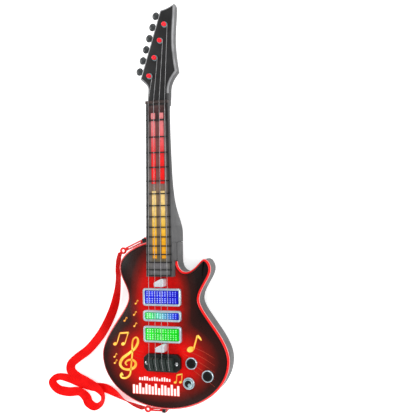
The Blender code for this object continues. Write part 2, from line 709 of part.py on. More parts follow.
def fingerboard():
    """The smoked lens in the channel, and the black ladder of frets over it."""
    y_low, y_high = NECK_END_Y + 0.0021, NUT_Y[0] - 2 * GAP
    near, far = neck_half_width(y_low) - LIP - GAP, neck_half_width(y_high) - LIP - GAP
    lens = flat("fingerboard_lens", [[(-near, y_low), (near, y_low), (far, y_high), (-far, y_high)]], *LENS_Z)
    finish(lens, SMOKED)

    rail_out, rail_in = 0.0024, 0.0032
    right, windows = [], []
    edges = [y_high] + fret_lines() + [NECK_END_Y + 0.0006]
    right.append((neck_half_width(y_high) - rail_out, y_high))
    for y in edges[1:-1]:
        for side, reach in ((1, rail_out), (1, 0.0004), (-1, 0.0004), (-1, rail_out)):
            at = y + side * FRET_WIDTH / 2
            right.append((neck_half_width(at) - reach, at))
    right.append((neck_half_width(edges[-1]) - rail_out, edges[-1]))
    outline = [(-x, y) for x, y in right] + right[::-1]
    for k, (upper, lower) in enumerate(zip(edges, edges[1:])):
        top = upper - (FRET_WIDTH if k == 0 else FRET_WIDTH / 2)
        bottom = lower + (FRET_WIDTH if k == FRET_COUNT else FRET_WIDTH / 2)
        a, b = neck_half_width(top) - rail_in, neck_half_width(bottom) - rail_in
        windows.append([(-a, top), (-b, bottom), (b, bottom), (a, top)])
    finish(flat("fret_ladder", [outline, *windows], *FRET_Z), BLACK_GLOSS)


def light_bars(name, y_low, y_high, look):
    """Two long light guides joined by a bridge at each end."""
    def half_gap(y):
        return 0.0028 + (0.1 - y) * 0.003

    outer, inner = [], []
    for y in (y_low, y_high):
        outer.append((half_gap(y) + 0.0064, y))
    inner = [(half_gap(y_low + 0.002), y_low + 0.002), (half_gap(y_high - 0.002), y_high - 0.002)]
    outline = outer + [(-x, y) for x, y in outer[::-1]]
    hole = inner + [(-x, y) for x, y in inner[::-1]]
    finish(flat(name, [outline, hole], *LIGHT_BAR_Z), look)


def neck_lights():
    """The long board in the channel and the bars that it lights."""
    half = 0.0115
    board = box("neck_light_board", (-half, NECK_END_Y + 0.003, LIGHT_BOARD_Z[0]),
                (half, NUT_Y[0] - 0.002, LIGHT_BOARD_Z[1]))
    finish(board, BOARD_GREEN)
    light_bars("light_bars_red", 0.0345, 0.1300, RED_LIGHT)
    light_bars("light_bars_amber", -0.0660, 0.0250, AMBER_LIGHT)


def nut():
    bar = box("nut", (-0.0163, NUT_Y[0], NUT_SLOT_Z + GAP), (0.0159, NUT_Y[1], NUT_TOP_Z))
    round_edges(bar, 0.0006, 1)
    return finish(bar, NUT_BROWN)


def tuners():
    """Six oval keys, each on a shaft that turns in the side of the headstock."""
    bm = bmesh.new()
    bmesh.ops.create_uvsphere(bm, u_segments=10, v_segments=6, radius=1.0)
    bmesh.ops.scale(bm, vec=(0.0035, 0.0053, 0.0029), verts=bm.verts)
    bmesh.ops.translate(bm, vec=(0.0075, 0, 0), verts=bm.verts)
    key = from_bmesh("tuner_1", bm)
    stem = shaft("tuner_stem", 0.0016, -0.0060, 0.0060)
    collar = shaft("tuner_collar", 0.0028, 0.0005, 0.0017)
    stem.data.transform(stem.matrix_basis)
    stem.matrix_basis = Matrix()
    collar.data.transform(collar.matrix_basis)
    collar.matrix_basis = Matrix()
    applied(boolean(key, "UNION", [stem, collar]))
    finish(key, CHARCOAL)
    for k, (place, angle) in enumerate(tuner_places()):
        copy = key if k == 0 else bpy.data.objects.new(f"tuner_{k + 1}", key.data)
        if k:
            PARTS.objects.link(copy)
        copy.location = (*place, TUNER_Z)
        copy.rotation_euler = (0, 0, angle)


def string_posts():
    """Four red posts that the strings end on."""
    r, s = POST_RADIUS, POST_STEM_RADIUS
    low = HEAD_PLATE_Z[1] + GAP
    profile = [
        (0.0, low + 0.0066), (r * 0.55, low + 0.0062), (r * 0.90, low + 0.0050), (r, low + 0.0038),
        (r * 0.92, low + 0.0010), (r * 1.12, low + 0.0006), (r * 1.12, low), (s, low), (s, low - 0.0060),
        (0.0, low - 0.0060),
    ]
    for k, (x, y) in enumerate(POSTS):
        finish(turned(f"string_post_{k + 1}", profile, 16, (x, y, 0)), POST_RED)


# ---------------------------------------------------------------- bridge and strings


def bridge():
    """The black base with its two screws and four saddles."""
    (y0, y1), x, c = BRIDGE_Y, BRIDGE_HALF_WIDTH, BRIDGE_CHAMFER
    loop = [
        (-x + c, y0), (x - c, y0), (x, y0 + c), (x, y1 - c),
        (x - c, y1), (-x + c, y1), (-x, y1 - c), (-x, y0 + c),
    ]
    base = flat("bridge_base", [loop], *BRIDGE_Z)
    round_edges(base, 0.0008, 1, lambda co: co.z > 0.001)
    holes = [
        rod(f"bridge_hole_{side}", 0.0018, 0.02, 0.05, side * BRIDGE_SCREW_X, BRIDGE_SCREW_Y, 12)
        for side in (-1, 1)
    ]
    boolean(base, "DIFFERENCE", [merge("bridge_holes", holes)])
    finish(base, BRIDGE_BLACK)
    top = BRIDGE_Z[1] + GAP
    screw = [
        (0.0, top + 0.0016), (0.0016, top + 0.0013), (0.0026, top), (0.0013, top), (0.0013, 0.0270), (0.0, 0.0260),
    ]
    for side, name in ((-1, "left"), (1, "right")):
        place = (side * BRIDGE_SCREW_X, BRIDGE_SCREW_Y, 0)
        finish(turned(f"bridge_screw_{name}", screw, 14, place), STEEL)
    for k, x in enumerate(BRIDGE_STRINGS_X):
        saddle(k + 1, x, top)


def saddle(number, x, low):
    """A block whose crest carries one string, with its back sloping down."""
    half, back = SADDLE_SIZE[0] / 2, SADDLE_BACK_Y
    side = [
        (back, low), (back + SADDLE_SIZE[1], low), (back + SADDLE_SIZE[1], low + 0.0040),
        (back + 0.0158, SADDLE_CREST_Z), (back + 0.0134, SADDLE_CREST_Z), (back, low + 0.0030),
    ]
    made = loft(f"saddle_{number}", [[(x + end, y, z) for y, z in side] for end in (-half, half)])
    finish(made, BRIDGE_BLACK)


def string_guide(name, y):
    """A plated wedge under the two middle strings."""
    loop = [
        (-0.0074, y - 0.0054), (0.0058, y - 0.0054), (0.0060, y + 0.0044), (0.0034, y + 0.0056),
        (-0.0072, y + 0.0004),
    ]
    guide = flat(f"string_guide_{name}", [loop], FACE_Z + GAP, GUIDE_TOP_Z)
    round_edges(guide, 0.0010, 2, lambda co: co.z > 0.001)
    return finish(guide, SILVER)


def strings():
    """Four strings, each from behind its saddle over the crest and the nut to its post."""
    lift = STRING_RADIUS + GAP
    crest_y = SADDLE_BACK_Y + 0.0146
    for k, (bridge_x, nut_x) in enumerate(zip(BRIDGE_STRINGS_X, NUT_STRINGS_X)):
        post_x, post_y = POSTS[3 - k]
        route = [
            (bridge_x, SADDLE_BACK_Y + 0.0012, BRIDGE_Z[1] + GAP + 0.0042 + lift),
            (bridge_x, crest_y - 0.0016, SADDLE_CREST_Z + lift + 0.0003),
            (bridge_x, crest_y + 0.0012, SADDLE_CREST_Z + lift + 0.0001),
            (nut_x, NUT_Y[0] + 0.0006, NUT_TOP_Z + lift),
            (nut_x, NUT_Y[1] - 0.0006, NUT_TOP_Z + lift),
            (post_x + POST_RADIUS + lift, post_y - 0.0010, HEAD_PLATE_Z[1] + 0.0026),
        ]
        wire(f"string_{k + 1}", route, STRING_RADIUS, STEEL)


def wire(name, route, radius, look):
    """A round wire through the route's points."""
    curve = bpy.data.curves.new(name, "CURVE")
    curve.dimensions = "3D"
    curve.bevel_depth = radius
    curve.bevel_resolution = 1
    curve.use_fill_caps = True
    spline = curve.splines.new("POLY")
    spline.points.add(len(route) - 1)
    for point, place in zip(spline.points, route):
        point.co = (*place, 1.0)
    return finish(bpy.data.objects.new(name, curve), look)


# ---------------------------------------------------------------- strap


def smooth_route(route, per_leg):
    """Points of a Catmull-Rom curve through the route, each with its roll."""
    made = []
    ends = [route[0], *route, route[-1]]
    for a, b, c, d in zip(ends, ends[1:], ends[2:], ends[3:]):
        for k in range(per_leg):
            t = k / per_leg
            made.append([
                0.5 * (2 * q + (r - p) * t + (2 * p - 5 * q + 4 * r - s) * t**2 + (3 * q - p - 3 * r + s) * t**3)
                for p, q, r, s in zip(a, b, c, d)
            ])
    made.append(list(route[-1]))
    return made


def strap():
    """The ribbon, as a thin flat solid that rolls as it goes."""
    half, thick = STRAP_WIDTH / 2, STRAP_THICKNESS / 2
    points = smooth_route(STRAP_ROUTE, STRAP_POINTS_PER_LEG)
    places = [Vector(p[:3]) for p in points]
    sections = []
    for i, (place, point) in enumerate(zip(places, points)):
        ahead = places[min(i + 1, len(places) - 1)] - places[max(i - 1, 0)]
        level = Vector((-ahead.y, ahead.x, 0.0)).normalized()
        rolled = Matrix.Rotation(math.radians(point[3]), 3, ahead.normalized()) @ level
        normal = ahead.normalized().cross(rolled)
        corners = [(-half, -thick), (half, -thick), (half, thick), (-half, thick)]
        sections.append([place + rolled * a + normal * b for a, b in corners])
    return finish(loft("strap", sections), STRAP_RED)


def eyelet(name, x, y, degrees):
    """A staple on the side of the body: two ears and the pin between them."""
    plate = box(f"{name}_plate", (0.0004, -0.0045, 0.0075), (0.0015, 0.0045, 0.0245))
    ears = [
        box(f"{name}_ear_{k}", (0.0010, -0.0022, low), (EYELET_REACH, 0.0022, low + 0.0020))
        for k, low in enumerate((0.0090, 0.0210))
    ]
    bar = rod(f"{name}_pin", EYELET_PIN_RADIUS, 0.0100, 0.0220, EYELET_PIN, 0.0, 12)
    applied(boolean(plate, "UNION", [*ears, bar]))
    plate.name = name
    plate.location = (x, y, 0)
    plate.rotation_euler = (0, 0, math.radians(degrees))
    return finish(plate, CHARCOAL)


def clip(name, pin, strap_end):
    """A flat plastic link: an eye round the pin, a slotted shank and an eye for the ribbon."""
    start, end = Vector(pin), Vector(strap_end)
    along = (end - start).normalized()
    across = Vector((-along.y, along.x))
    length = (end - start).length

    def at(u, v):
        place = start + along * u + across * v
        return (place.x, place.y)

    def local_circle(centre, radius, steps):
        return [at(centre + u, v) for u, v in circle(0, 0, radius, steps)]

    eye, ring, shank = 0.0033, 0.0048, 0.0024
    neck_a, neck_b = math.asin(shank / eye), math.asin(shank / ring)
    far = length - ring - GAP
    outline = []
    for k in range(13):
        angle = neck_a + (2 * math.pi - 2 * neck_a) * k / 12
        outline.append(at(eye * math.cos(angle), eye * math.sin(angle)))
    for k in range(13):
        angle = math.pi + neck_b + (2 * math.pi - 2 * neck_b) * k / 12
        outline.append(at(far + ring * math.cos(angle), ring * math.sin(angle)))
    slot = [at(u, v) for u, v in rounded_rectangle((0.0068, -0.0011), (far - 0.0072, 0.0011), 0.0010, 3)]
    holes = [local_circle(0.0, EYELET_PIN_RADIUS + 0.0005, 12), slot, local_circle(far, 0.0022, 12)]
    made = flat(name, [outline, *holes], *CLIP_Z)
    return finish(made, CLIP_RED)


def eyelet_pin(x, y, degrees):
    """Where an eyelet's pin stands."""
    turn = math.radians(degrees)
    return (x + EYELET_PIN * math.cos(turn), y + EYELET_PIN * math.sin(turn))


# ---------------------------------------------------------------- assembly


def build():
    slot = neck_slot()
    body_back_shell()
    face_plate(slot)
    rim_trim(slot)
    for (name, top, bottom), look in zip(PANELS, (BLUE_LENS, CYAN_LENS, GREEN_LENS)):
        light_panel(name, top, bottom, look)
    for (name, x, y), look in zip(BUTTONS, (BUTTON_BLACK, BUTTON_BLACK, SILVER)):
        button(name, x, y, look)
    main_board()
    speaker()
    battery_bay()
    holes = [rod(f"post_hole_{k}", POST_STEM_RADIUS + STEM_CLEARANCE, 0.0320, 0.0500, x, y, 12)
             for k, (x, y) in enumerate(POSTS)]
    post_holes = as_cutter(merge("post_holes", holes))
    neck_shell(post_holes)
    headstock_plate(post_holes)
    fingerboard()
    neck_lights()
    nut()
    tuners()
    string_posts()
    bridge()
    for name, y in GUIDES:
        string_guide(name, y)
    strings()
    strap()
    eyelet("strap_eyelet_top", *EYELET_TOP)
    eyelet("strap_eyelet_bottom", *EYELET_BOTTOM)
    clip("strap_clip_top", eyelet_pin(*EYELET_TOP), STRAP_ROUTE[0][:2])
    clip("strap_clip_bottom", eyelet_pin(*EYELET_BOTTOM), STRAP_ROUTE[-1][:2])


build()
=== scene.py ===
"""Looks of the toy electric guitar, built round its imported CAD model.

The guitar lies on its back. +X is the horn side, +Y runs up the neck to the headstock and +Z comes out
of the face. Everything is in metres in the CAD model's frame, and the dimensions repeat the CAD source.
"""

import json
import math

import bmesh
import bpy
import numpy as np
from mathutils import Matrix, Vector

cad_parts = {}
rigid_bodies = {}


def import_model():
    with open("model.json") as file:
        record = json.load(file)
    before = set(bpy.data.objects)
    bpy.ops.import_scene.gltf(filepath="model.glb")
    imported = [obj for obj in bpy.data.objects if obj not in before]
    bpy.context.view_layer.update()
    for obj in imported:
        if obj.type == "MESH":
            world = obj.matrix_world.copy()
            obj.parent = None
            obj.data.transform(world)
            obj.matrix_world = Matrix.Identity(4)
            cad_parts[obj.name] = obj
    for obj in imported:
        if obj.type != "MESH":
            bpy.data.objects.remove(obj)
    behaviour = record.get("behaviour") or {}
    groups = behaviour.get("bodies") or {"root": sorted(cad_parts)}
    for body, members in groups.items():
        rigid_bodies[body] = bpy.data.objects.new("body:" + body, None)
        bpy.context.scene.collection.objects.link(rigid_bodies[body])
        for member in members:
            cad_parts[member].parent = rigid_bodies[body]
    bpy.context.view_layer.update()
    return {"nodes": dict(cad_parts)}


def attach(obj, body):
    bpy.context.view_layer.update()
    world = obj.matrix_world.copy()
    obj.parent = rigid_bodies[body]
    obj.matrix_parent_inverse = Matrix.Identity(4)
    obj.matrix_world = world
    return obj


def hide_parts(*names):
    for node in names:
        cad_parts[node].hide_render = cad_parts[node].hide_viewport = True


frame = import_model()

# Camera
CAMERA_PLACE = (0.3273, -0.0038, 0.8840)
CAMERA_TARGET = (0.0666, 0.0008, 0.0310)
CAMERA_UP = (0.0177, 1.0, 0.0)
CAMERA_LENS = 58.15

# Studio: a softbox is its name, place, size and power
FLOOR_REACH = 30
WORLD_STRENGTH = 0.52
SOFTBOXES = [
    ("left_softbox", (-1.5, 0.3, 1.0), 1.0, 16),
    ("right_softbox", (1.7, 0.2, 0.8), 1.0, 16),
    ("low_softbox", (0.2, -1.7, 1.1), 1.2, 14),
    ("high_softbox", (0.3, 1.6, 1.1), 1.0, 9),
]

# Clearances and body heights
GAP = 0.0003
WALL = 0.0022
FACE_Z = 0.0310
BACK_SHELL_TOP = 0.0267
BACK_FLOOR = 0.0024
FACE_PLATE_LOW = 0.0283
RIM_WIDTH = 0.0030

# Body outline: each node is x, y, direction of travel in degrees, and the lengths of its two handles
BODY_NODES = [
    (-0.0210, -0.0450, 180, 0.0000, 0.0080),
    (-0.0635, -0.0795, 270, 0.0220, 0.0160),
    (-0.0510, -0.1205, 270, 0.0160, 0.0180),
    (-0.0916, -0.2015, 270, 0.0300, 0.0380),
    (0.0000, -0.2710, 0, 0.0510, 0.0510),
    (0.0916, -0.2015, 90, 0.0380, 0.0300),
    (0.0510, -0.1215, 90, 0.0180, 0.0140),
    (0.0678, -0.0805, 90, 0.0120, 0.0060),
    (0.0590, -0.0675, 175, 0.0050, 0.0050),
    (0.0330, -0.0850, 180, 0.0120, 0.0070),
    (0.0210, -0.0700, 90, 0.0080, 0.0000),
]
TONGUE_CORNER = (0.0210, -0.0450)
BODY_STEPS = 22

# Neck and fingerboard
NECK_TOP_Z = 0.0410
NECK_END_Y = -0.0903
NUT_Y = (0.1424, 0.1464)
NUT_TOP_Z = 0.0422
NUT_SLOT_Z = 0.0370
NECK_HALF_AT_NUT = 0.01575
NECK_HALF_AT_END = 0.0191
HEEL_SLOT_HALF = 0.0216
HEEL_SLOT_END_Y = -0.0704
NUT_X = (-0.0163, 0.0159)
LIP = 0.0019
CHANNEL_FLOOR_Z = 0.0332
LENS_Z = (0.0384, 0.0407)
LIGHT_BAR_Z = (0.0352, 0.0405)
LIGHT_ZONES = [("pads", 0.1214, 0.1300), ("red", 0.0345, 0.1195), ("amber", -0.0660, 0.0250)]
LIGHT_BAR_WIDTH = 0.0064
LIGHT_BAR_INNER = 0.0028

# Neck sections: y, height of the lower side edge, height of the underside, half width at the side edge
NECK_HEEL = [
    (-0.0903, 0.0285, 0.0270, 0.0191),
    (-0.0701, 0.0285, 0.0270, 0.0188),
    (-0.0685, 0.0285, 0.0270, 0.0207),
    (-0.0449, 0.0285, 0.0270, 0.0207),
]
NECK_SECTIONS = [
    (-0.0445, 0.0016, 0.0004, 0.0207),
    (-0.0290, 0.0020, 0.0004, 0.0206),
    (-0.0200, 0.0060, 0.0028, 0.0202),
    (-0.0100, 0.0130, 0.0084, 0.0195),
    (0.0000, 0.0195, 0.0146, 0.0188),
    (0.0120, 0.0250, 0.0200, 0.0182),
    (0.0280, 0.0290, 0.0240, 0.0177),
    (0.0500, 0.0317, 0.0262, 0.0172),
    (0.0950, 0.0338, 0.0282, 0.0165),
    (0.1280, 0.0336, 0.0276, 0.0160),
    (0.1462, 0.0318, 0.0250, 0.0160),
]

# Headstock
HEAD_Z = (0.0240, 0.0380)
HEAD_PLATE_Z = (0.0383, 0.0396)
HEAD_PLATE_INSET = 0.0026
HEAD_LOW_LEFT = (-0.0250, 0.1770)
HEAD_TOP_LEFT = (0.0055, 0.2684)
# Each node is x, y and its two handles, given as offsets from the node.
HEAD_NODES = [
    (-0.0150, 0.1400, 0.0000, 0.0000, 0.0002, 0.0080),
    (-0.0137, 0.1620, -0.0004, -0.0070, 0.0003, 0.0060),
    (*HEAD_LOW_LEFT, 0.0066, -0.0056, 0.0000, 0.0000),
    (*HEAD_TOP_LEFT, 0.0000, 0.0000, 0.0060, 0.0008),
    (0.0250, 0.2757, -0.0060, -0.0042, 0.0000, 0.0000),
    (0.0264, 0.2716, 0.0000, 0.0000, -0.0004, -0.0150),
    (0.0238, 0.2260, 0.0000, 0.0150, 0.0000, -0.0140),
    (0.0281, 0.1845, -0.0016, 0.0080, -0.0080, -0.0090),
    (0.0160, 0.1580, 0.0000, 0.0110, 0.0000, -0.0060),
    (0.0150, 0.1400, 0.0003, 0.0080, 0.0000, 0.0000),
]
HEAD_STEPS = 14
TUNER_COUNT = 6
TUNER_Z = 0.0310
TUNER_PITCH = 0.01560
TUNER_EDGE_OFFSET = 0.0103
KEY_NECK = 0.0016
KEY_LENGTH = 0.0112
KEY_FLATNESS = 0.0029 / 0.0053
POSTS = [(0.0128, 0.2475), (0.0060, 0.2264), (-0.0020, 0.2038), (-0.0099, 0.1798)]
POST_RADIUS = 0.00365

# Light panels: name, upper edge, lower edge, rows of beads, and the lens's slot
PANELS = [
    ("upper", -0.1066, -0.1306, 6, "blue_lens"),
    ("middle", -0.1365, -0.1516, 3, "blue_green_lens"),
    ("lower", -0.1577, -0.1802, 5, "green_lens"),
]
PANEL_Z = (0.0313, 0.0360)
PANEL_LENS_TOP_Z = 0.0347
PANEL_WIDTH = 0.0545
PANEL_CORNER = 0.0045
PANEL_BORDER = 0.0030
PANEL_WINDOW_INSET = 0.0060
BEAD_COLUMNS = 12
BEAD_PITCH = 0.0037
BEAD_SHIFT = -0.0006
BEAD_MARGIN = 0.0008
BEAD_PARTING = 0.0007
BEAD_PROFILE = [(0.0, 0.0345), (0.00092, 0.0345), (0.00086, 0.0349), (0.0005, 0.0352), (0.0, 0.0353)]

# Bridge and strings
BRIDGE_Y = (-0.2188, -0.1950)
BRIDGE_HALF_WIDTH = 0.0260
BRIDGE_CHAMFER = 0.0050
BRIDGE_Z = (0.0313, 0.0385)
BRIDGE_SCREWS = [("left", -0.0213, -0.2070), ("right", 0.0213, -0.2070)]
BRIDGE_HOLE_RADIUS = 0.0018
SADDLE_SIZE = (0.0080, 0.0180)
SADDLE_BACK_Y = -0.2168
SADDLE_CREST_Z = 0.0474
SADDLE_RIDGES = 7
STRING_RADIUS = 0.00045
WIRE_RADIUS = 0.00026
BRIDGE_STRINGS_X = (-0.0144, -0.0052, 0.0040, 0.0132)
NUT_STRINGS_X = (-0.0115, -0.0037, 0.0043, 0.0121)
GUIDES = [("upper", -0.0983), ("lower", -0.1860)]
GUIDE_TOP_Z = 0.0440
WEDGE_SOFTENING = 0.0013
WEDGE_ROUNDING = 0.0008

# Buttons: name, x, y
BUTTONS = [("a", 0.0400, -0.2065), ("b", 0.0626, -0.2225), ("c", 0.0360, -0.2335)]
POWER_BUTTON = "c"
BUTTON_HOLE_RADIUS = 0.0064
CAP_TOP_Z = 0.0352
CAP_RIDGES = 5
CAP_RIDGE_PITCH = 0.0009

# Back
BATTERY_CENTRE_Y = -0.1480
HATCH_X = (-0.0270, 0.0370)
HATCH_HALF_Y = 0.0225
DOOR_Z = (0.0003, 0.0022)
DOOR_SCREW_X = 0.0330
GRIP_GROOVES = 6
GRIP_X = -0.0225
GRIP_PITCH = 0.0022
GRIP_HALF_Y = 0.0080
SPEAKER_Y = -0.2260
GRILLE_SLOTS = 7
GRILLE_PITCH = 0.0056
GRILLE_RADIUS = 0.0190
GRILLE_HALF_SLOT = 0.0013
CASE_SCREWS = [(-0.072, -0.200), (0.080, -0.185), (-0.045, -0.085), (0.048, -0.090)]
CASE_WELL_RADIUS = 0.0032
CASE_WELL_DEPTH = 0.0009
CASE_POST_RADIUS = 0.0030

# Print on the face. A pair of notes is its heads, the tops of its stems, and then the heads' length and the
# half widths of stem and beam. A single note is x, y, the head's length and its height.
PRINT_LOW_Z = FACE_Z - 0.0001
BIG_PAIR = ([(-0.0712, -0.1850), (-0.0592, -0.1846)], [(-0.0635, -0.1690), (-0.0508, -0.1676)])
SMALL_PAIR = ([(0.0163, -0.2333), (0.0238, -0.2326)], [(0.0188, -0.2228), (0.0262, -0.2208)])
NOTE_PAIRS = [(*BIG_PAIR, 0.0058, 0.0005, 0.0010), (*SMALL_PAIR, 0.0040, 0.0004, 0.0007)]
BIG_NOTE = (0.0388, -0.1880, 0.0100, 0.0190)
SMALL_NOTE_SIZE = (0.0027, 0.0048)
SMALL_NOTES = [
    (-0.0395, -0.1285), (-0.0422, -0.1440), (-0.0565, -0.1525), (-0.0420, -0.1595), (-0.0725, -0.2030),
    (-0.0722, -0.2115),
]
# The clef's strokes: across, up and half width, in units of its own
CLEF = [
    (-0.15, 0.70, 0.10), (-0.42, 1.05, 0.13), (-0.20, 1.50, 0.15), (0.30, 1.62, 0.17), (0.78, 1.22, 0.20),
    (0.82, 0.55, 0.22), (0.30, 0.05, 0.19), (-0.50, 0.12, 0.18), (-1.02, 0.80, 0.22), (-0.90, 1.75, 0.24),
    (-0.25, 2.65, 0.20), (0.30, 3.45, 0.19), (0.52, 4.30, 0.20), (0.42, 5.00, 0.17), (0.15, 5.28, 0.12),
    (-0.12, 4.90, 0.12), (-0.10, 4.10, 0.13), (0.12, 2.80, 0.13), (0.28, 1.30, 0.13), (0.42, -0.10, 0.13),
    (0.42, -0.85, 0.14), (0.08, -1.35, 0.14), (-0.45, -1.35, 0.14), (-0.66, -0.95, 0.16),
    (-0.45, -0.70, 0.30),
]
CLEF_UNIT = 0.0085
CLEF_WIDTH = 0.0122
CLEF_CENTRE = (-0.0515, -0.2125)
CLEF_MIDDLE = 0.85
CLEF_LEAN = 0.26

# Strap: x, y, height of the ribbon's centre line and its roll in degrees, 0 flat and 90 on edge
STRAP_WIDTH = 0.0130
STRAP_THICKNESS = 0.0012
STRAP_LOWEST_Z = 0.0002
STRAP_COLUMNS = 12
WEAVE_UNIT = 0.004
STRAP_ROUTE = [
    (-0.0680, -0.0590, 0.0160, 90), (-0.0712, -0.0690, 0.0150, 95), (-0.0728, -0.0820, 0.0125, 104),
    (-0.0745, -0.0950, 0.0098, 97), (-0.0771, -0.1130, 0.0078, 108), (-0.0827, -0.1350, 0.0062, 134),
    (-0.0926, -0.1570, 0.0052, 150), (-0.1066, -0.1790, 0.0040, 165), (-0.1256, -0.2000, 0.0032, 178),
    (-0.1430, -0.2130, 0.0046, 164), (-0.1525, -0.2220, 0.0066, 146), (-0.1525, -0.2320, 0.0074, 144),
    (-0.1430, -0.2405, 0.0066, 163), (-0.1290, -0.2470, 0.0048, 182), (-0.1150, -0.2550, 0.0037, 188),
    (-0.1050, -0.2640, 0.0046, 210), (-0.1050, -0.2750, 0.0060, 228), (-0.1150, -0.2820, 0.0064, 232),
    (-0.1255, -0.2775, 0.0062, 226), (-0.1310, -0.2690, 0.0048, 202), (-0.1430, -0.2625, 0.0034, 174),
    (-0.1590, -0.2640, 0.0032, 192), (-0.1750, -0.2605, 0.0060, 226), (-0.1840, -0.2500, 0.0068, 242),
    (-0.1750, -0.2425, 0.0050, 214), (-0.1590, -0.2450, 0.0018, 188), (-0.1400, -0.2510, 0.0009, 180),
    (-0.1200, -0.2550, 0.0010, 180), (-0.1010, -0.2560, 0.0012, 180), (-0.0840, -0.2620, 0.0038, 205),
    (-0.0690, -0.2690, 0.0068, 240), (-0.0550, -0.2735, 0.0088, 262), (-0.0440, -0.2755, 0.0122, 270),
    (-0.0350, -0.2765, 0.0155, 270),
]
CLIP_Z = (0.0148, 0.0172)
EYELET_TOP = (-0.0285, -0.0465, 105)
EYELET_BOTTOM = (-0.0040, -0.2709, 268)
EYELET_PIN = 0.0052
EYELET_PIN_RADIUS = 0.0012


# ---------------------------------------------------------------- camera, floor and lights


def aim(obj, target, up=(0, 1, 0)):
    """Turns a camera or lamp so that it looks at a point, with its top towards a direction."""
    back = (Vector(obj.location) - Vector(target)).normalized()
    right = Vector(up).cross(back).normalized()
    axes = Matrix((right, back.cross(right), back)).transposed()
    obj.matrix_world = Matrix.Translation(obj.location) @ axes.to_4x4()


def add_camera():
    camera = bpy.data.objects.new("camera", bpy.data.cameras.new("camera"))
    bpy.context.scene.collection.objects.link(camera)
    camera.data.lens = CAMERA_LENS
    camera.data.clip_start = 0.01
    camera.location = CAMERA_PLACE
    aim(camera, CAMERA_TARGET, CAMERA_UP)
    bpy.context.scene.camera = camera


def add_softbox(name, place, size, power):
    """A square area light that looks at the middle of the guitar."""
    lamp = bpy.data.lights.new(name, "AREA")
    lamp.energy = power
    lamp.size = size
    obj = bpy.data.objects.new(name, lamp)
    bpy.context.scene.collection.objects.link(obj)
    obj.location = place
    aim(obj, (0, 0, 0.02))


def add_world(strength):
    world = bpy.data.worlds.new("studio")
    world.use_nodes = True
    background = world.node_tree.nodes["Background"]
    background.inputs["Color"].default_value = (1.0, 1.0, 1.0, 1.0)
    background.inputs["Strength"].default_value = strength
    bpy.context.scene.world = world


add_camera()
add_world(WORLD_STRENGTH)
for softbox in SOFTBOXES:
    add_softbox(*softbox)
bpy.context.scene.view_settings.view_transform = "Standard"


# ---------------------------------------------------------------- material helpers


def rgb(tone):
    """The linear colour of 8-bit display values; a single value is a grey."""
    linear = []
    for value in tone if isinstance(tone, tuple) else (tone, tone, tone):
        share = value / 255
        linear.append(share / 12.92 if share <= 0.04045 else ((share + 0.055) / 1.055) ** 2.4)
    return (*linear, 1.0)


def node(tree, kind, inputs=None, **settings):
    """A shader node; an input given as a socket is linked and any other is set."""
    made = tree.nodes.new("ShaderNode" + kind)
    for key, value in settings.items():
        setattr(made, key, value)
    for key, value in (inputs or {}).items():
        if isinstance(value, bpy.types.NodeSocket):
            tree.links.new(value, made.inputs[key])
        else:
            made.inputs[key].default_value = value
    return made


def calc(tree, operation, *values):
    return node(tree, "Math", dict(enumerate(values)), operation=operation).outputs[0]


def noise(tree, place, scale, detail=3.0):
    return node(tree, "TexNoise", {"Vector": place, "Scale": scale, "Detail": detail}).outputs["Fac"]


def ramp(tree, factor, stops):
    """A colour from a factor, through (position, colour) stops."""
    made = node(tree, "ValToRGB", {"Fac": factor})
    elements = made.color_ramp.elements
    first, *between, last = [(position, rgb(tone)) for position, tone in stops]
    elements[0].position, elements[0].color = first
    elements[1].position, elements[1].color = last
    for position, color in between:
        elements.new(position).color = color
    return made.outputs["Color"]


def scaled(tree, value, low, high, to_low=0.0, to_high=1.0):
    """A value mapped from one range to another, and held inside it."""
    inputs = {"Value": value, "From Min": low, "From Max": high, "To Min": to_low, "To Max": to_high}
    return node(tree, "MapRange", inputs).outputs["Result"]


def mixed(tree, factor, a, b, blend="MIX"):
    """One colour or socket laid over another by a factor."""
    made = node(tree, "Mix", data_type="RGBA", blend_type=blend)
    for index, value in ((0, factor), (6, a), (7, b)):
        if isinstance(value, bpy.types.NodeSocket):
            tree.links.new(value, made.inputs[index])
        else:
            made.inputs[index].default_value = value
    return made.outputs[2]


def shaded(tree, color, factor, low, high, dark):
    """A colour times a grey that goes from dark at the factor's low value to white at its high one."""
    return mixed(tree, 1.0, color, ramp(tree, factor, [(low, dark), (high, 255)]), "MULTIPLY")


def new_look(name, gleam, metallic=0.0):
    """A material with its object coordinates, and its shader's own values set."""
    made = bpy.data.materials.new(name)
    made.use_nodes = True
    tree = made.node_tree
    shader = tree.nodes["Principled BSDF"]
    shader.inputs["Specular IOR Level"].default_value = gleam
    shader.inputs["Metallic"].default_value = metallic
    return made, tree, shader, node(tree, "TexCoord").outputs["Object"]


def paint(tree, shader, color, glow=0.0):
    """Gives the surface its colour, which it also shines with if it glows."""
    tree.links.new(color, shader.inputs["Base Color"])
    if glow:
        tree.links.new(color, shader.inputs["Emission Color"])
        shader.inputs["Emission Strength"].default_value = glow


def add_relief(tree, shader, height, strength):
    inputs = {"Height": height, "Strength": strength, "Distance": 0.0002}
    tree.links.new(node(tree, "Bump", inputs).outputs["Normal"], shader.inputs["Normal"])


def add_grain(tree, shader, place, scale, bump, roughness, spread):
    """Uneven gloss from a broad noise and a low relief from a fine one."""
    gloss = scaled(tree, noise(tree, place, scale / 14), 0.3, 0.7, roughness - spread, roughness + spread)
    tree.links.new(gloss, shader.inputs["Roughness"])
    add_relief(tree, shader, noise(tree, place, scale), bump)


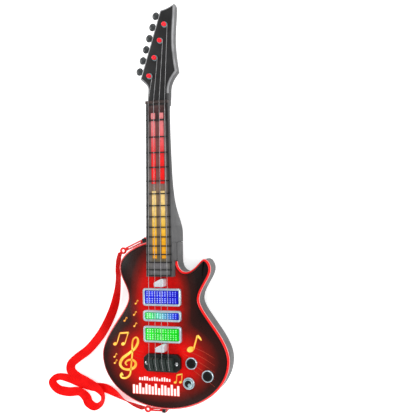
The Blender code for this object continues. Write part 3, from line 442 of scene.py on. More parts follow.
def moulded(
    name, dark, light, roughness, grain=1600, bump=0.12, spread=0.06, glow=0.0, gleam=0.5, metallic=0.0
):
    """Plastic or plating whose colour wanders between two tones."""
    made, tree, shader, place = new_look(name, gleam, metallic)
    paint(tree, shader, ramp(tree, noise(tree, place, grain / 25, 5.0), [(0.35, dark), (0.65, light)]), glow)
    add_grain(tree, shader, place, grain, bump, roughness, spread)
    return made


def graded(name, axis, low, high, tones, patches, grain, gleam, glow=0.0):
    """A finish whose colour changes along an axis, through faintly darker patches.

    Tones are (share of the way from low to high, colour). Patches are a noise's scale and detail, the grey at
    its low end and the value where it turns white. Grain is the scale, bump, roughness and its spread.
    """
    made, tree, shader, place = new_look(name, gleam)
    along = scaled(tree, node(tree, "SeparateXYZ", {"Vector": place}).outputs[axis], low, high)
    scale, detail, dark, white_from = patches
    color = shaded(tree, ramp(tree, along, tones), noise(tree, place, scale, detail), 0.3, white_from, dark)
    paint(tree, shader, color, glow)
    add_grain(tree, shader, place, *grain)
    return made


# ---------------------------------------------------------------- materials


def sunburst_look():
    """The printed face: bright red in two overlapping ovals that darken to black at the edges."""
    made, tree, shader, place = new_look("sunburst_print", 0.12)
    split = node(tree, "SeparateXYZ", {"Vector": place})

    def oval(x, y, half_x, half_y):
        across = calc(tree, "DIVIDE", calc(tree, "SUBTRACT", split.outputs["X"], x), half_x)
        along = calc(tree, "DIVIDE", calc(tree, "SUBTRACT", split.outputs["Y"], y), half_y)
        squares = calc(tree, "ADD", calc(tree, "POWER", across, 2), calc(tree, "POWER", along, 2))
        return calc(tree, "SQRT", squares)

    lower, upper = oval(-0.003, -0.204, 0.066, 0.048), oval(-0.004, -0.125, 0.037, 0.068)
    reach = calc(tree, "SMOOTH_MIN", lower, upper, 0.35)
    cloudy = calc(tree, "MULTIPLY_ADD", noise(tree, place, 45, 5.0), 0.10, reach)
    color = ramp(tree, calc(tree, "MULTIPLY", cloudy, 0.5), [
        (0.00, (246, 10, 8)), (0.30, (240, 12, 8)), (0.42, (196, 18, 12)), (0.52, (124, 22, 15)),
        (0.64, (52, 20, 17)), (0.78, (28, 17, 16)), (1.00, (22, 17, 17)),
    ])
    streaks = node(tree, "TexNoise", {"Vector": place, "Scale": 420, "Detail": 6.0, "Roughness": 0.7})
    paint(tree, shader, shaded(tree, color, streaks.outputs["Fac"], 0.3, 0.7, 225))
    add_grain(tree, shader, place, 900, 0.05, 0.28, 0.06)
    return made


def fingerboard_look():
    """Smoked board with lengthwise streaks, with a painted glow from the lights under it down its middle, and
    dark above the first fret.
    """
    made, tree, shader, place = new_look("fingerboard_smoked", 0.35)
    split = node(tree, "SeparateXYZ", {"Vector": place})
    x, y = split.outputs["X"], split.outputs["Y"]
    along = scaled(tree, y, NECK_END_Y, NUT_Y[0])
    # The lit tones are painted glow from the light bars; the unlit tones are the board away from them.
    lit = ramp(tree, along, [
        (0.00, 112), (0.075, (116, 113, 116)), (0.095, (110, 98, 72)), (0.25, (136, 112, 82)),
        (0.47, (136, 110, 82)), (0.53, (132, 104, 96)), (0.56, (132, 76, 72)), (0.85, (120, 68, 66)),
        (0.893, (122, 74, 72)), (0.900, (60, 34, 34)), (0.975, (76, 46, 45)), (1.00, (120, 100, 98)),
    ])
    unlit = ramp(tree, along, [
        (0.00, (116, 115, 117)), (0.3, (134, 124, 108)), (0.6, (130, 118, 116)), (0.893, (112, 102, 102)),
        (0.900, (66, 46, 46)), (1.0, (80, 62, 62)),
    ])
    away = scaled(tree, calc(tree, "ABSOLUTE", x), 0.0085, 0.0125)
    lengthwise = {"X": calc(tree, "MULTIPLY", x, 1700), "Y": calc(tree, "MULTIPLY", y, 26)}
    streaks = noise(tree, node(tree, "CombineXYZ", lengthwise).outputs["Vector"], 0.7, 2.0)
    paint(tree, shader, shaded(tree, mixed(tree, away, lit, unlit), streaks, 0.32, 0.68, 205))
    add_grain(tree, shader, place, 1300, 0.06, 0.30, 0.06)
    return made


def light_bar_look(name, stops):
    """Glowing diffuser whose colour changes along the neck; stops are (y, colour)."""
    low, high = stops[0][0], stops[-1][0]
    tones = [((y - low) / (high - low), tone) for y, tone in stops]
    patches, grain = (260, 3.0, 232, 0.6), (1500, 0.05, 0.35, 0.06)
    return graded(name, "Y", low, high, tones, patches, grain, 0.3, glow=0.22)


def rim_look():
    """Red band whose top edge carries the face's black print."""
    tones = [(0.0, (246, 10, 8)), (0.62, (246, 12, 9)), (0.80, (30, 17, 16)), (1.0, (28, 17, 16))]
    patches, grain = (60, 5.0, 232, 0.7), (1600, 0.1, 0.32, 0.06)
    return graded("red_band", "Z", 0.0300, 0.0312, tones, patches, grain, 0.2)


def neck_look():
    """Grey plastic with painted shade that darkens it up the neck; it is pale again round the headstock."""
    tones = [
        (0.00, (84, 84, 85)), (0.30, (76, 76, 77)), (0.46, (54, 54, 55)), (0.80, (40, 40, 41)),
        (0.88, (60, 60, 61)), (1.00, (88, 88, 89)),
    ]
    patches, grain = (64, 5.0, 230, 0.7), (1600, 0.2, 0.46, 0.06)
    return graded("neck_plastic_painted_shade", "Y", -0.09, 0.19, tones, patches, grain, 0.3)


def lens_look(name, left, middle, right, glow):
    """Glowing panel lens or beads, their colour changing across the body."""
    tones = [(0.12, left), (0.5, middle), (0.88, right)]
    patches, grain = (330, 4.0, 205, 0.65), (1200, 0.08, 0.22, 0.05)
    return graded(name, "X", -0.024, 0.024, tones, patches, grain, 0.25, glow)


def strap_look():
    """Red woven ribbon: fine ribs and threads, laid by its own length and width."""
    made, tree, shader, place = new_look("strap_weave", 0.1)
    ribbon = node(tree, "TexCoord").outputs["UV"]

    def wave(scale, axis):
        inputs = {"Vector": ribbon, "Scale": scale, "Distortion": 0.4, "Detail": 1.0}
        return node(tree, "TexWave", inputs, bands_direction=axis).outputs["Fac"]

    weave = calc(tree, "MULTIPLY", wave(9.0, "X"), wave(6.0, "Y"))
    wander = ramp(tree, noise(tree, place, 90, 4.0), [(0.3, (232, 2, 4)), (0.7, (254, 16, 14))])
    # The ribbon also glows with its own colour: painted light that keeps it bright red where the lamps leave
    # it in shade.
    paint(tree, shader, shaded(tree, wander, weave, 0.0, 0.6, 205), glow=0.32)
    tree.links.new(scaled(tree, weave, 0.0, 1.0, 0.62, 0.46), shader.inputs["Roughness"])
    add_relief(tree, shader, weave, 0.35)
    return made


RED_STOPS = [
    (0.0345, (228, 10, 8)), (0.060, (228, 22, 22)), (0.075, (220, 40, 42)), (0.092, (220, 82, 86)),
    (0.105, (218, 105, 108)), (0.1300, (216, 128, 130)),
]
AMBER_STOPS = [
    (-0.0660, (226, 150, 16)), (-0.040, (228, 162, 20)), (-0.020, (228, 182, 68)), (0.000, (228, 193, 112)),
    (0.0250, (228, 197, 128)),
]
GREY_SHELL = moulded("grey_plastic", (68, 68, 69), (80, 80, 80), 0.46, bump=0.2, gleam=0.35)
SUNBURST = sunburst_look()
RED_TRIM = rim_look()
NECK_SHADED_GREY = neck_look()
# Pale grey for the headstock's chamfer: a painted highlight.
HEAD_EDGE_HIGHLIGHT = moulded("head_edge_highlight", (128, 128, 130), (160, 160, 162), 0.4)
# Pale pink for the line under the rim: a painted highlight.
PINK_HIGHLIGHT_LINE = moulded("pink_highlight_line", (236, 150, 150), (246, 176, 176), 0.30)
PLATED = {"roughness": 0.24, "spread": 0.05, "bump": 0.05}
SILVER = moulded("silver_plating", (186, 208, 220), (206, 224, 232), **PLATED, metallic=0.55)
STEEL = moulded("bright_steel", (185, 188, 190), (214, 216, 218), 0.25, bump=0.05, metallic=0.9)
STRING_STEEL = moulded("string_steel", (140, 140, 142), (172, 172, 174), 0.38, metallic=0.5)
LENSES = {
    "upper": lens_look("blue_lens", (20, 26, 212), (24, 32, 208), (8, 10, 186), 0.15),
    "middle": lens_look("blue_green_lens", (50, 220, 74), (84, 180, 184), (18, 34, 200), 0.15),
    "lower": lens_look("green_lens", (30, 224, 40), (20, 214, 30), (8, 206, 18), 0.15),
}
BEADS = {
    "upper": lens_look("blue_beads", (158, 174, 252), (170, 184, 252), (120, 132, 246), 0.6),
    "middle": lens_look("blue_green_beads", (176, 250, 190), (176, 222, 236), (124, 140, 250), 0.6),
    "lower": lens_look("green_beads", (176, 252, 180), (156, 250, 162), (128, 246, 136), 0.6),
}
BRIDGE_BLACK = moulded("bridge_black", (7, 11, 10), (15, 21, 19), 0.5, bump=0.2, gleam=0.3)
# The saddles' own green-black, made lighter than the base's: the extra lightness is a painted highlight for
# their ridges.
SADDLE_BLACK = moulded("saddle_black", (22, 32, 29), (40, 52, 48), 0.45, bump=0.2, gleam=0.4)
GUIDE_SILVER = moulded("guide_silver", (206, 214, 222), (232, 238, 242), **PLATED, metallic=0.3)
BUTTON_BLACK = moulded("button_black", (7, 7, 8), (17, 17, 18), 0.5, bump=0.25, gleam=0.25)
BUTTON_SILVER = moulded("button_silver", (160, 190, 196), (186, 208, 212), 0.3, metallic=0.4)
BOARD_GREEN = moulded("board_green", (16, 92, 48), (24, 112, 58), 0.45, grain=900)
SPEAKER_BLACK = moulded("speaker_paper", 22, 40, 0.8, grain=700, bump=0.4)
CELL_WRAP = moulded("cell_wrap", (34, 44, 120), (46, 60, 150), 0.35)
FINGERBOARD = fingerboard_look()
LIGHTS = {"red": light_bar_look("red_light", RED_STOPS), "amber": light_bar_look("amber_light", AMBER_STOPS)}
FRET_BLACK = moulded("fret_black", (8, 6, 6), (16, 13, 12), 0.5)
NUT_BROWN = moulded("nut_brown", (44, 32, 30), (66, 50, 46), 0.42)
CHARCOAL = moulded("charcoal", (24, 24, 25), (36, 36, 37), 0.45, bump=0.2, gleam=0.3)
KEY_CHARCOAL = moulded("key_charcoal", (38, 42, 44), (64, 68, 70), 0.3)
# The red posts glow a little with their own colour: painted light.
POST_RED = moulded("post_red", (250, 10, 30), (255, 30, 48), 0.2, spread=0.04, glow=0.1, gleam=0.3)
POST_TEAL = moulded("post_collar", (96, 134, 138), (130, 164, 168), 0.3, metallic=0.2)
STRAP_RED = strap_look()
CLIP_RED = moulded("clip_red", (236, 8, 10), (250, 28, 26), 0.28)
# The yellow print glows a little with its own colour: painted light.
PRINT_YELLOW = moulded("print_yellow", (248, 168, 34), (255, 236, 104), 0.4, glow=0.12)
PRINT_ORANGE = moulded("print_orange", (206, 84, 12), (236, 120, 22), 0.4)
PRINT_STREAK = moulded("print_streak", (150, 34, 18), (196, 60, 26), 0.4)
# The white print glows a little with its own colour: painted light.
PRINT_WHITE = moulded("print_white", (244, 236, 232), (255, 250, 248), 0.4, glow=0.08)
PRINT_GLOW = moulded("print_glow", (236, 40, 20), (250, 66, 34), 0.4)


def add_floor():
    """A pale matt floor, far wider than the view."""
    mesh = bpy.data.meshes.new("floor")
    reach = FLOOR_REACH
    corners = [(-reach, -reach, 0), (reach, -reach, 0), (reach, reach, 0), (-reach, reach, 0)]
    mesh.from_pydata(corners, [], [(0, 1, 2, 3)])
    floor = bpy.data.objects.new("floor", mesh)
    floor.data.materials.append(moulded("floor_white", 250, 253, 0.9, grain=60, bump=0.0, glow=0.5))
    bpy.context.scene.collection.objects.link(floor)


add_floor()


# ---------------------------------------------------------------- modelling helpers


def show(obj, look, body="guitar", stands_for=(), smooth_angle=32):
    """Puts a piece in the scene with its finish, on its body and in the place of its CAD nodes."""
    if obj.name not in bpy.context.scene.collection.objects:
        bpy.context.scene.collection.objects.link(obj)
    obj.data.materials.clear()
    obj.data.materials.append(look)
    if obj.type == "MESH":
        obj.data.shade_smooth()
        obj.data.set_sharp_from_angle(angle=math.radians(smooth_angle))
    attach(obj, body)
    if stands_for:
        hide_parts(*stands_for)
    return obj


def from_bmesh(name, bm):
    mesh = bpy.data.meshes.new(name)
    bm.to_mesh(mesh)
    bm.free()
    return bpy.data.objects.new(name, mesh)


def merge(name, objects):
    """One loose object from several."""
    bm = bmesh.new()
    for obj in objects:
        mesh = obj.data.copy()
        mesh.transform(obj.matrix_basis)
        bm.from_mesh(mesh)
        bpy.data.meshes.remove(mesh)
        bpy.data.objects.remove(obj)
    return from_bmesh(name, bm)


def rings_to_mesh(name, rings, closed, capped):
    """Joins rings of as many points by quads, round to the first ring again or with flat ends."""
    bm = bmesh.new()
    made = [[bm.verts.new(point) for point in ring] for ring in rings]
    pairs = list(zip(made, made[1:]))
    if closed:
        pairs.append((made[-1], made[0]))
    for a, b in pairs:
        for i in range(len(a)):
            j = (i + 1) % len(a)
            bm.faces.new((a[i], a[j], b[j], b[i]))
    if capped:
        bm.faces.new(made[0])
        bm.faces.new(made[-1])
    bmesh.ops.remove_doubles(bm, verts=bm.verts, dist=0.000004)
    bmesh.ops.recalc_face_normals(bm, faces=bm.faces)
    return from_bmesh(name, bm)


def clearances(points, loop):
    """How far each point is from the nearest side of a loop."""
    points, starts = np.array(points), np.array(loop)
    sides = np.roll(starts, -1, axis=0) - starts
    to_point = points[:, None] - starts[None]
    along = np.clip((to_point * sides).sum(2) / np.maximum((sides * sides).sum(1), 1e-14), 0, 1)
    return np.linalg.norm(to_point - along[..., None] * sides, axis=2).min(1)


def inset(loop, distance):
    """A counter-clockwise loop moved inward by a distance; where it would fold over, points draw together."""
    if abs(distance) < 0.000001:
        return list(loop)
    moved = []
    for before, here, after in zip(loop[-1:] + loop[:-1], loop, loop[1:] + loop[:1]):
        into = (Vector(here) - Vector(before)).normalized()
        out = (Vector(after) - Vector(here)).normalized()
        normal = Vector((-into.y - out.y, into.x + out.x)).normalized()
        reach = distance / max(0.35, normal.dot(Vector((-into.y, into.x))))
        moved.append((here[0] + normal.x * reach, here[1] + normal.y * reach))
    if distance < 0:
        return moved
    count = len(moved)
    sound = [clear > distance * 0.985 for clear in clearances(moved, loop)]
    for i in range(count):
        near = next(k for step in range(count) for k in (i + step, i - step) if sound[k % count])
        moved[i] = moved[near % count]
    return moved


def stacked(loop, profile):
    """Rings of a loop at each (distance inward, height) of a profile."""
    return [[(x, y, height) for x, y in inset(loop, distance)] for distance, height in profile]


def slab(name, loop, profile):
    """A solid with the loop's outline whose edges follow the profile from its lower to its upper face."""
    return rings_to_mesh(name, stacked(loop, profile), closed=False, capped=True)


def plate(name, loop, low, high, rounding, steps):
    """A solid with the loop's outline and a rounded upper edge."""
    return slab(name, loop, rounded_profile(low, high, 0, rounding, steps))


def block(name, loop, low, high):
    """A solid with the loop's outline and straight sides."""
    return slab(name, loop, [(0, low), (0, high)])


def band(name, loop, profile):
    """A closed band round a loop, its section a closed profile of (distance inward, height)."""
    return rings_to_mesh(name, stacked(loop, profile), closed=True, capped=False)


def rounded_profile(low, high, bottom, top, steps=4):
    """An edge profile between two heights with a quarter round at the bottom and at the top."""
    quarter = [math.radians(90 * k / steps) for k in range(steps + 1)]
    lower = [(bottom * (1 - math.sin(a)), low + bottom * (1 - math.cos(a))) for a in quarter]
    upper = [(top * (1 - math.cos(a)), high - top * (1 - math.sin(a))) for a in quarter]
    if bottom == 0:
        lower = [(0.0, low)]
    return lower + upper


def box(name, low, high):
    bm = bmesh.new()
    bmesh.ops.create_cube(bm, size=1.0)
    bmesh.ops.scale(bm, vec=[h - l for l, h in zip(low, high)], verts=bm.verts)
    bmesh.ops.translate(bm, vec=[(h + l) / 2 for l, h in zip(low, high)], verts=bm.verts)
    return from_bmesh(name, bm)


def circle(x, y, radius, steps):
    turn = 2 * math.pi / steps
    return [(x + radius * math.cos(turn * k), y + radius * math.sin(turn * k)) for k in range(steps)]


def rod(name, radius, low, high, x=0.0, y=0.0, sides=32):
    """A cylinder along Z between two heights."""
    return block(name, circle(x, y, radius, sides), low, high)


def turned(name, profile, sides, x=0.0, y=0.0):
    """A profile of (radius, height) turned about Z; a radius of zero closes an end."""
    bm = bmesh.new()
    rings = []
    for radius, height in profile:
        if radius:
            rings.append([bm.verts.new((px, py, height)) for px, py in circle(x, y, radius, sides)])
        else:
            rings.append([bm.verts.new((x, y, height))])
    if profile[0][0] and profile[-1][0]:
        rings.append(rings[0])
    for a, b in zip(rings, rings[1:]):
        for i in range(sides):
            j = (i + 1) % sides
            corners = [a[i % len(a)], a[j % len(a)], b[j % len(b)], b[i % len(b)]]
            bm.faces.new(list(dict.fromkeys(corners)))
    bmesh.ops.recalc_face_normals(bm, faces=bm.faces)
    return from_bmesh(name, bm)


def cut(obj, others, operation="DIFFERENCE"):
    """The object with solids cut from it or joined to it; the solids are used up."""
    scene = bpy.context.scene.collection.objects
    for item in (obj, *others):
        if item.name not in scene:
            scene.link(item)
    for other in others:
        step = obj.modifiers.new(other.name, "BOOLEAN")
        step.operation = operation
        step.solver = "EXACT"
        step.object = other
    bpy.context.view_layer.update()
    mesh = bpy.data.meshes.new_from_object(obj.evaluated_get(bpy.context.evaluated_depsgraph_get()))
    obj.modifiers.clear()
    obj.data = mesh
    for other in others:
        bpy.data.objects.remove(other)
    return obj


def bezier_loop(nodes, steps):
    """Points along a closed chain of cubic curves; a node is x, y and its two handle offsets."""
    points = []
    for (x0, y0, _, _, ax, ay), (x3, y3, bx, by, _, _) in zip(nodes, nodes[1:] + nodes[:1]):
        x1, y1, x2, y2 = x0 + ax, y0 + ay, x3 + bx, y3 + by
        for k in range(steps):
            t = k / steps
            a, b, c, d = (1 - t) ** 3, 3 * t * (1 - t) ** 2, 3 * t * t * (1 - t), t**3
            points.append((a * x0 + b * x1 + c * x2 + d * x3, a * y0 + b * y1 + c * y2 + d * y3))
    return points


def with_directions(nodes):
    """Turns nodes with a direction and two handle lengths into nodes with handle offsets."""
    made = []
    for x, y, degrees, before, after in nodes:
        dx, dy = math.cos(math.radians(degrees)), math.sin(math.radians(degrees))
        made.append((x, y, -before * dx, -before * dy, after * dx, after * dy))
    return made


def softened(points, distance, steps=5):
    """A closed polygon whose corners are rounded over a distance along each side."""
    made = []
    for before, here, after in zip(points[-1:] + points[:-1], points, points[1:] + points[:1]):
        here = Vector(here)
        start = here + (Vector(before) - here).normalized() * distance
        end = here + (Vector(after) - here).normalized() * distance
        for k in range(steps + 1):
            t = k / steps
            point = start * (1 - t) ** 2 + here * 2 * t * (1 - t) + end * t * t
            made.append((point.x, point.y))
    return made


def rectangle(low, high, radius, steps=6):
    corners = [(low[0], low[1]), (high[0], low[1]), (high[0], high[1]), (low[0], high[1])]
    return softened(corners, radius, steps)


def smooth_route(route, per_leg):
    """Points of a Catmull-Rom curve through the route; every number of a point is smoothed."""
    made = []
    ends = [route[0], *route, route[-1]]
    for a, b, c, d in zip(ends, ends[1:], ends[2:], ends[3:]):
        for k in range(per_leg):
            t = k / per_leg
            made.append([
                q + 0.5 * ((r - p) * t + (2 * p - 5 * q + 4 * r - s) * t * t + (3 * q - p - 3 * r + s) * t**3)
                for p, q, r, s in zip(a, b, c, d)
            ])
    made.append(list(route[-1]))
    return made


# ---------------------------------------------------------------- strap and its fittings


def ribbon_section(place, across, normal):
    """The closed outline of the ribbon's section, a little thicker near its woven edges."""
    upper = []
    for k in range(STRAP_COLUMNS + 1):
        side = k / STRAP_COLUMNS * 2 - 1
        if abs(side) > 0.99:
            swell = 0.45
        else:
            swell = 1.0 if abs(side) > 0.80 else 0.78
        upper.append((side, swell))
    outline = [(side, -rise) for side, rise in upper] + [(side, rise) for side, rise in upper[::-1]]
    half, thick = STRAP_WIDTH / 2, STRAP_THICKNESS / 2
    points = [place + across * (side * half) + normal * (rise * thick) for side, rise in outline]
    return [Vector((point.x, point.y, max(point.z, STRAP_LOWEST_Z))) for point in points]


def strap():
    """The ribbon from clip to clip, rolling as it goes, with its own length and width as its texture map."""
    points = smooth_route(STRAP_ROUTE, 8)
    places = [Vector(point[:3]) for point in points]
    travelled, sections, distances = 0.0, [], []
    for i, (place, point) in enumerate(zip(places, points)):
        ahead = (places[min(i + 1, len(places) - 1)] - places[max(i - 1, 0)]).normalized()
        level = Vector((-ahead.y, ahead.x, 0.0)).normalized()
        across = Matrix.Rotation(math.radians(point[3]), 3, ahead) @ level
        sections.append(ribbon_section(place, across, ahead.cross(across)))
        if i:
            travelled += (place - places[i - 1]).length
        distances.append(travelled)
    obj = rings_to_mesh("strap_ribbon", sections, closed=False, capped=True)
    around = len(sections[0])
    half = around // 2
    layer = obj.data.uv_layers.new(name="ribbon")
    for polygon in obj.data.polygons:
        for loop in polygon.loop_indices:
            row, column = divmod(obj.data.loops[loop].vertex_index, around)
            over = column if column < half else around - 1 - column
            layer.data[loop].uv = (distances[row] / WEAVE_UNIT, over / (half - 1) * STRAP_WIDTH / WEAVE_UNIT)
    show(obj, STRAP_RED, stands_for=["strap"], smooth_angle=60)
    return obj, places, travelled


def pin_place(x, y, degrees):
    """Where an eyelet's pin stands."""
    turn = math.radians(degrees)
    return (x + EYELET_PIN * math.cos(turn), y + EYELET_PIN * math.sin(turn))


def clip(name, node_name, pin, strap_end):
    """A flat plastic link: an eye round the pin, a slotted shank and an eye for the ribbon."""
    start, end = Vector(pin), Vector(strap_end)
    along = (end - start).normalized()
    across = Vector((-along.y, along.x))
    eye, ring, shank = 0.0033, 0.0048, 0.0024
    neck_a, neck_b = math.asin(shank / eye), math.asin(shank / ring)
    far = (end - start).length - ring - GAP
    steps = 28
    outline = []
    for k in range(steps + 1):
        angle = neck_a + (2 * math.pi - 2 * neck_a) * k / steps
        outline.append((eye * math.cos(angle), eye * math.sin(angle)))
    for k in range(steps + 1):
        angle = math.pi + neck_b + (2 * math.pi - 2 * neck_b) * k / steps
        outline.append((far + ring * math.cos(angle), ring * math.sin(angle)))

    def world(points):
        return [tuple(start + along * u + across * v) for u, v in points]

    made = slab(name, world(outline), rounded_profile(*CLIP_Z, 0.0005, 0.0005))
    holes = [
        circle(0.0, 0.0, EYELET_PIN_RADIUS + 0.0005, 24),
        rectangle((0.0074, -0.0006), (far - 0.0080, 0.0006), 0.0005, 4),
        circle(far, 0.0, 0.0022, 24),
    ]
    tools = [block(f"{name}_hole_{k}", world(hole), 0.010, 0.022) for k, hole in enumerate(holes)]
    return show(cut(made, tools), CLIP_RED, stands_for=[node_name])


ribbon, ribbon_path, ribbon_length = strap()
clips = [
    clip("clip_link_top", "strap_clip_top", pin_place(*EYELET_TOP), STRAP_ROUTE[0][:2]),
    clip("clip_link_bottom", "strap_clip_bottom", pin_place(*EYELET_BOTTOM), STRAP_ROUTE[-1][:2]),
]


# ---------------------------------------------------------------- body


BODY_LOOP = bezier_loop(with_directions(BODY_NODES) + [(*TONGUE_CORNER, 0, 0, 0, 0)], BODY_STEPS)


def neck_slot():
    """The space that the neck's tail and heel take out of the face plate and the rim."""
    half = NECK_HALF_AT_END + GAP
    return [
        box("slot_tail", (-half, NECK_END_Y - GAP, 0.02), (half, -0.02, 0.06)),
        box("slot_tongue", (-HEEL_SLOT_HALF, HEEL_SLOT_END_Y, 0.02), (HEEL_SLOT_HALF, -0.02, 0.06)),
    ]


def back_shell():
    """The tray that makes the back and the sides, with its hatch opening, grille and screw wells."""
    shell = slab("back_shell", BODY_LOOP, rounded_profile(0.0, BACK_SHELL_TOP, 0.0040, 0.0004, 7))
    y0, y1 = BATTERY_CENTRE_Y - HATCH_HALF_Y, BATTERY_CENTRE_Y + HATCH_HALF_Y
    tools = [
        block("cavity", inset(BODY_LOOP, WALL), BACK_FLOOR, 0.04),
        box("hatch_opening", (HATCH_X[0], y0, -0.01), (HATCH_X[1], y1, 0.01)),
    ]
    slots = []
    for k in range(GRILLE_SLOTS):
        x = (k - GRILLE_SLOTS // 2) * GRILLE_PITCH
        reach = math.sqrt(GRILLE_RADIUS**2 - x * x)
        low, high = (x - GRILLE_HALF_SLOT, SPEAKER_Y - reach), (x + GRILLE_HALF_SLOT, SPEAKER_Y + reach)
        slots.append(block(f"slot_{k}", rectangle(low, high, 0.0012, 5), -0.01, 0.01))
    wells, posts = [], []
    for k, (x, y) in enumerate(CASE_SCREWS):
        wells.append(rod(f"well_{k}", CASE_WELL_RADIUS, -0.01, CASE_WELL_DEPTH, x, y))
        posts.append(rod(f"post_{k}", CASE_POST_RADIUS, BACK_FLOOR - 0.0008, 0.0280, x, y))
    cut(shell, [*tools, merge("grille_slots", slots), merge("screw_wells", wells)])
    cut(shell, [merge("screw_posts", posts)], "UNION")
    show(shell, GREY_SHELL, stands_for=["body_back_shell"])


def cross_screw(name, x, y, low, rise, radius, body="guitar", stands_for=(), up=True):
    """A screw head with a cross recess, facing up or down, and its shank."""
    sign = 1 if up else -1
    profile = [(0.0, rise), (radius * 0.55, rise * 0.93), (radius * 0.88, rise * 0.55), (radius, 0.0)]
    shank = [(radius * 0.45, 0.0), (radius * 0.45, -radius * 1.5), (0.0, -radius * 1.6)]
    head = turned(name, [(r, low + sign * z) for r, z in profile + shank], 28, x, y)
    depth = sorted((low + sign * rise * 0.45, low + sign * (rise + 0.001)))
    long, thin = radius * 0.62, radius * 0.14
    arms = [
        box(f"{name}_arm_{k}", (x - a, y - b, depth[0]), (x + a, y + b, depth[1]))
        for k, (a, b) in enumerate(((long, thin), (thin, long)))
    ]
    cut(head, arms)
    show(head, STEEL, body, stands_for)


def front_plate():
    """The printed front, with windows for the lights and holes for the buttons and screws."""
    made = plate("front_plate", inset(BODY_LOOP, RIM_WIDTH + GAP), FACE_PLATE_LOW, FACE_Z, 0.0003, 2)
    openings = []
    half = PANEL_WIDTH / 2 - PANEL_WINDOW_INSET
    for name, top, bottom, *_ in PANELS:
        low, high = (-half, bottom + PANEL_WINDOW_INSET), (half, top - PANEL_WINDOW_INSET)
        openings.append(block(f"window_{name}", rectangle(low, high, 0.001, 3), 0.02, 0.04))
    for name, x, y in BUTTONS:
        openings.append(rod(f"button_hole_{name}", BUTTON_HOLE_RADIUS, 0.02, 0.04, x, y, 48))
    for name, x, y in BRIDGE_SCREWS:
        openings.append(rod(f"screw_hole_{name}", BRIDGE_HOLE_RADIUS, 0.02, 0.04, x, y))
    cut(made, [merge("face_openings", openings), *neck_slot()])
    show(made, SUNBURST, stands_for=["face_plate"])


def rim_band():
    """The red band round the face, and the pale line under it, which is a painted highlight along the rim's
    lower edge.
    """
    low, high = BACK_SHELL_TOP + GAP, FACE_Z + 0.0002
    profile = [
        (RIM_WIDTH, low), (0.0002, low), (0.0, low + 0.0002), (0.0, low + 0.0006), (0.0005, low + 0.0014),
        (0.0020, high - 0.0004), (0.0024, high - 0.0001), (RIM_WIDTH - 0.0002, high),
        (RIM_WIDTH, high - 0.0002),
    ]
    rim = cut(band("rim_band", BODY_LOOP, profile), neck_slot())
    show(rim, RED_TRIM, stands_for=["rim_trim"])
    # A thin pink tube along the seam: a painted highlight on the rim's lower edge.
    middle, radius = BACK_SHELL_TOP + 0.0006, 0.0005
    line = cut(band("rim_highlight_line", BODY_LOOP, circle(0.0, middle, radius, 8)), neck_slot())
    show(line, PINK_HIGHLIGHT_LINE)


def bead_heights(top, bottom, rows):
    """Where each row of beads lies between a panel's edges; the rows of a big panel part in the middle."""
    parting = 2 * BEAD_PARTING if rows > 3 else 0.0
    margin = PANEL_BORDER + BEAD_MARGIN
    pitch = (top - bottom - 2 * margin - parting) / rows
    heights = [bottom + margin + pitch * (row + 0.5) for row in range(rows)]
    return [y + parting if row * 2 >= rows else y for row, y in enumerate(heights)]


def light_panel(name, top, bottom, rows, slot):
    """A plated frame with round edges, its lens, and rows of bead-like lights on the lens."""
    half = PANEL_WIDTH / 2
    outer = rectangle((-half, bottom), (half, top), PANEL_CORNER, 8)
    low, high = PANEL_Z
    profile = [
        (PANEL_BORDER, low), (0.0, low), (0.0, high - 0.0010), (0.0003, high - 0.0004), (0.0009, high),
        (0.0018, high), (0.0025, high - 0.0004), (0.0029, high - 0.0010), (PANEL_BORDER, high - 0.0018),
    ]
    bezel = band(f"bezel_{name}", outer, profile)
    show(bezel, SILVER, stands_for=[f"panel_frame_{name}"])
    lens = plate(f"lens_{name}", inset(outer, PANEL_BORDER + GAP), low, PANEL_LENS_TOP_Z, 0.0005, 3)
    show(lens, LENSES[name], stands_for=[f"panel_lens_{name}"])
    beads = []
    for y in bead_heights(top, bottom, rows):
        for column in range(BEAD_COLUMNS):
            x = (column - (BEAD_COLUMNS - 1) / 2) * BEAD_PITCH + BEAD_SHIFT
            beads.append(turned(f"bead_{len(beads)}", BEAD_PROFILE, 10, x, y))
    show(merge(f"beads_{name}", beads), BEADS[name])


def button(name, x, y):
    """A silver ring on the face, and the ridged cap that moves down through it."""
    ring = [
        (0.0064, 0.0332), (0.0068, 0.0336), (0.0075, 0.0337), (0.0079, 0.0334), (0.0081, 0.0328),
        (0.0081, 0.0313), (0.0064, 0.0313),
    ]
    made = turned(f"ring_{name}", ring, 64, x, y)
    show(made, SILVER, stands_for=[f"button_ring_{name}"])
    high, low = CAP_TOP_Z, CAP_TOP_Z - 0.0003
    cap = [(0.0, high)]
    for k in range(1, CAP_RIDGES + 1):
        at = CAP_RIDGE_PITCH * k
        cap += [(at - 0.0003, high), (at - 0.0001, low), (at + 0.0001, low), (at + 0.0003, high)]
    cap += [
        (0.0054, 0.0350), (0.0058, 0.0346), (0.0060, 0.0340), (0.0060, 0.0280), (0.0072, 0.0280),
        (0.0072, 0.0265), (0.0018, 0.0265), (0.0018, 0.0258), (0.0, 0.0258),
    ]
    look, slot = (BUTTON_SILVER, "silver_plating") if name == POWER_BUTTON else (BUTTON_BLACK, "button_black")
    made = turned(f"cap_{name}", cap, 48, x, y)
    show(made, look, f"button_{name}", [f"button_cap_{name}"], smooth_angle=25)
    if name == POWER_BUTTON:
        power_mark(name, x, y)


def power_mark(name, x, y):
    """A dark crescent on the top of the power button's cap."""
    moon = plate("power_crescent", circle(x - 0.0002, y + 0.0002, 0.0046, 40), 0.0346, 0.0355, 0.0001, 2)
    cut(moon, [rod("crescent_bite", 0.0027, 0.03, 0.04, x + 0.0020, y - 0.0018, 40)])
    show(moon, BUTTON_BLACK, f"button_{name}")


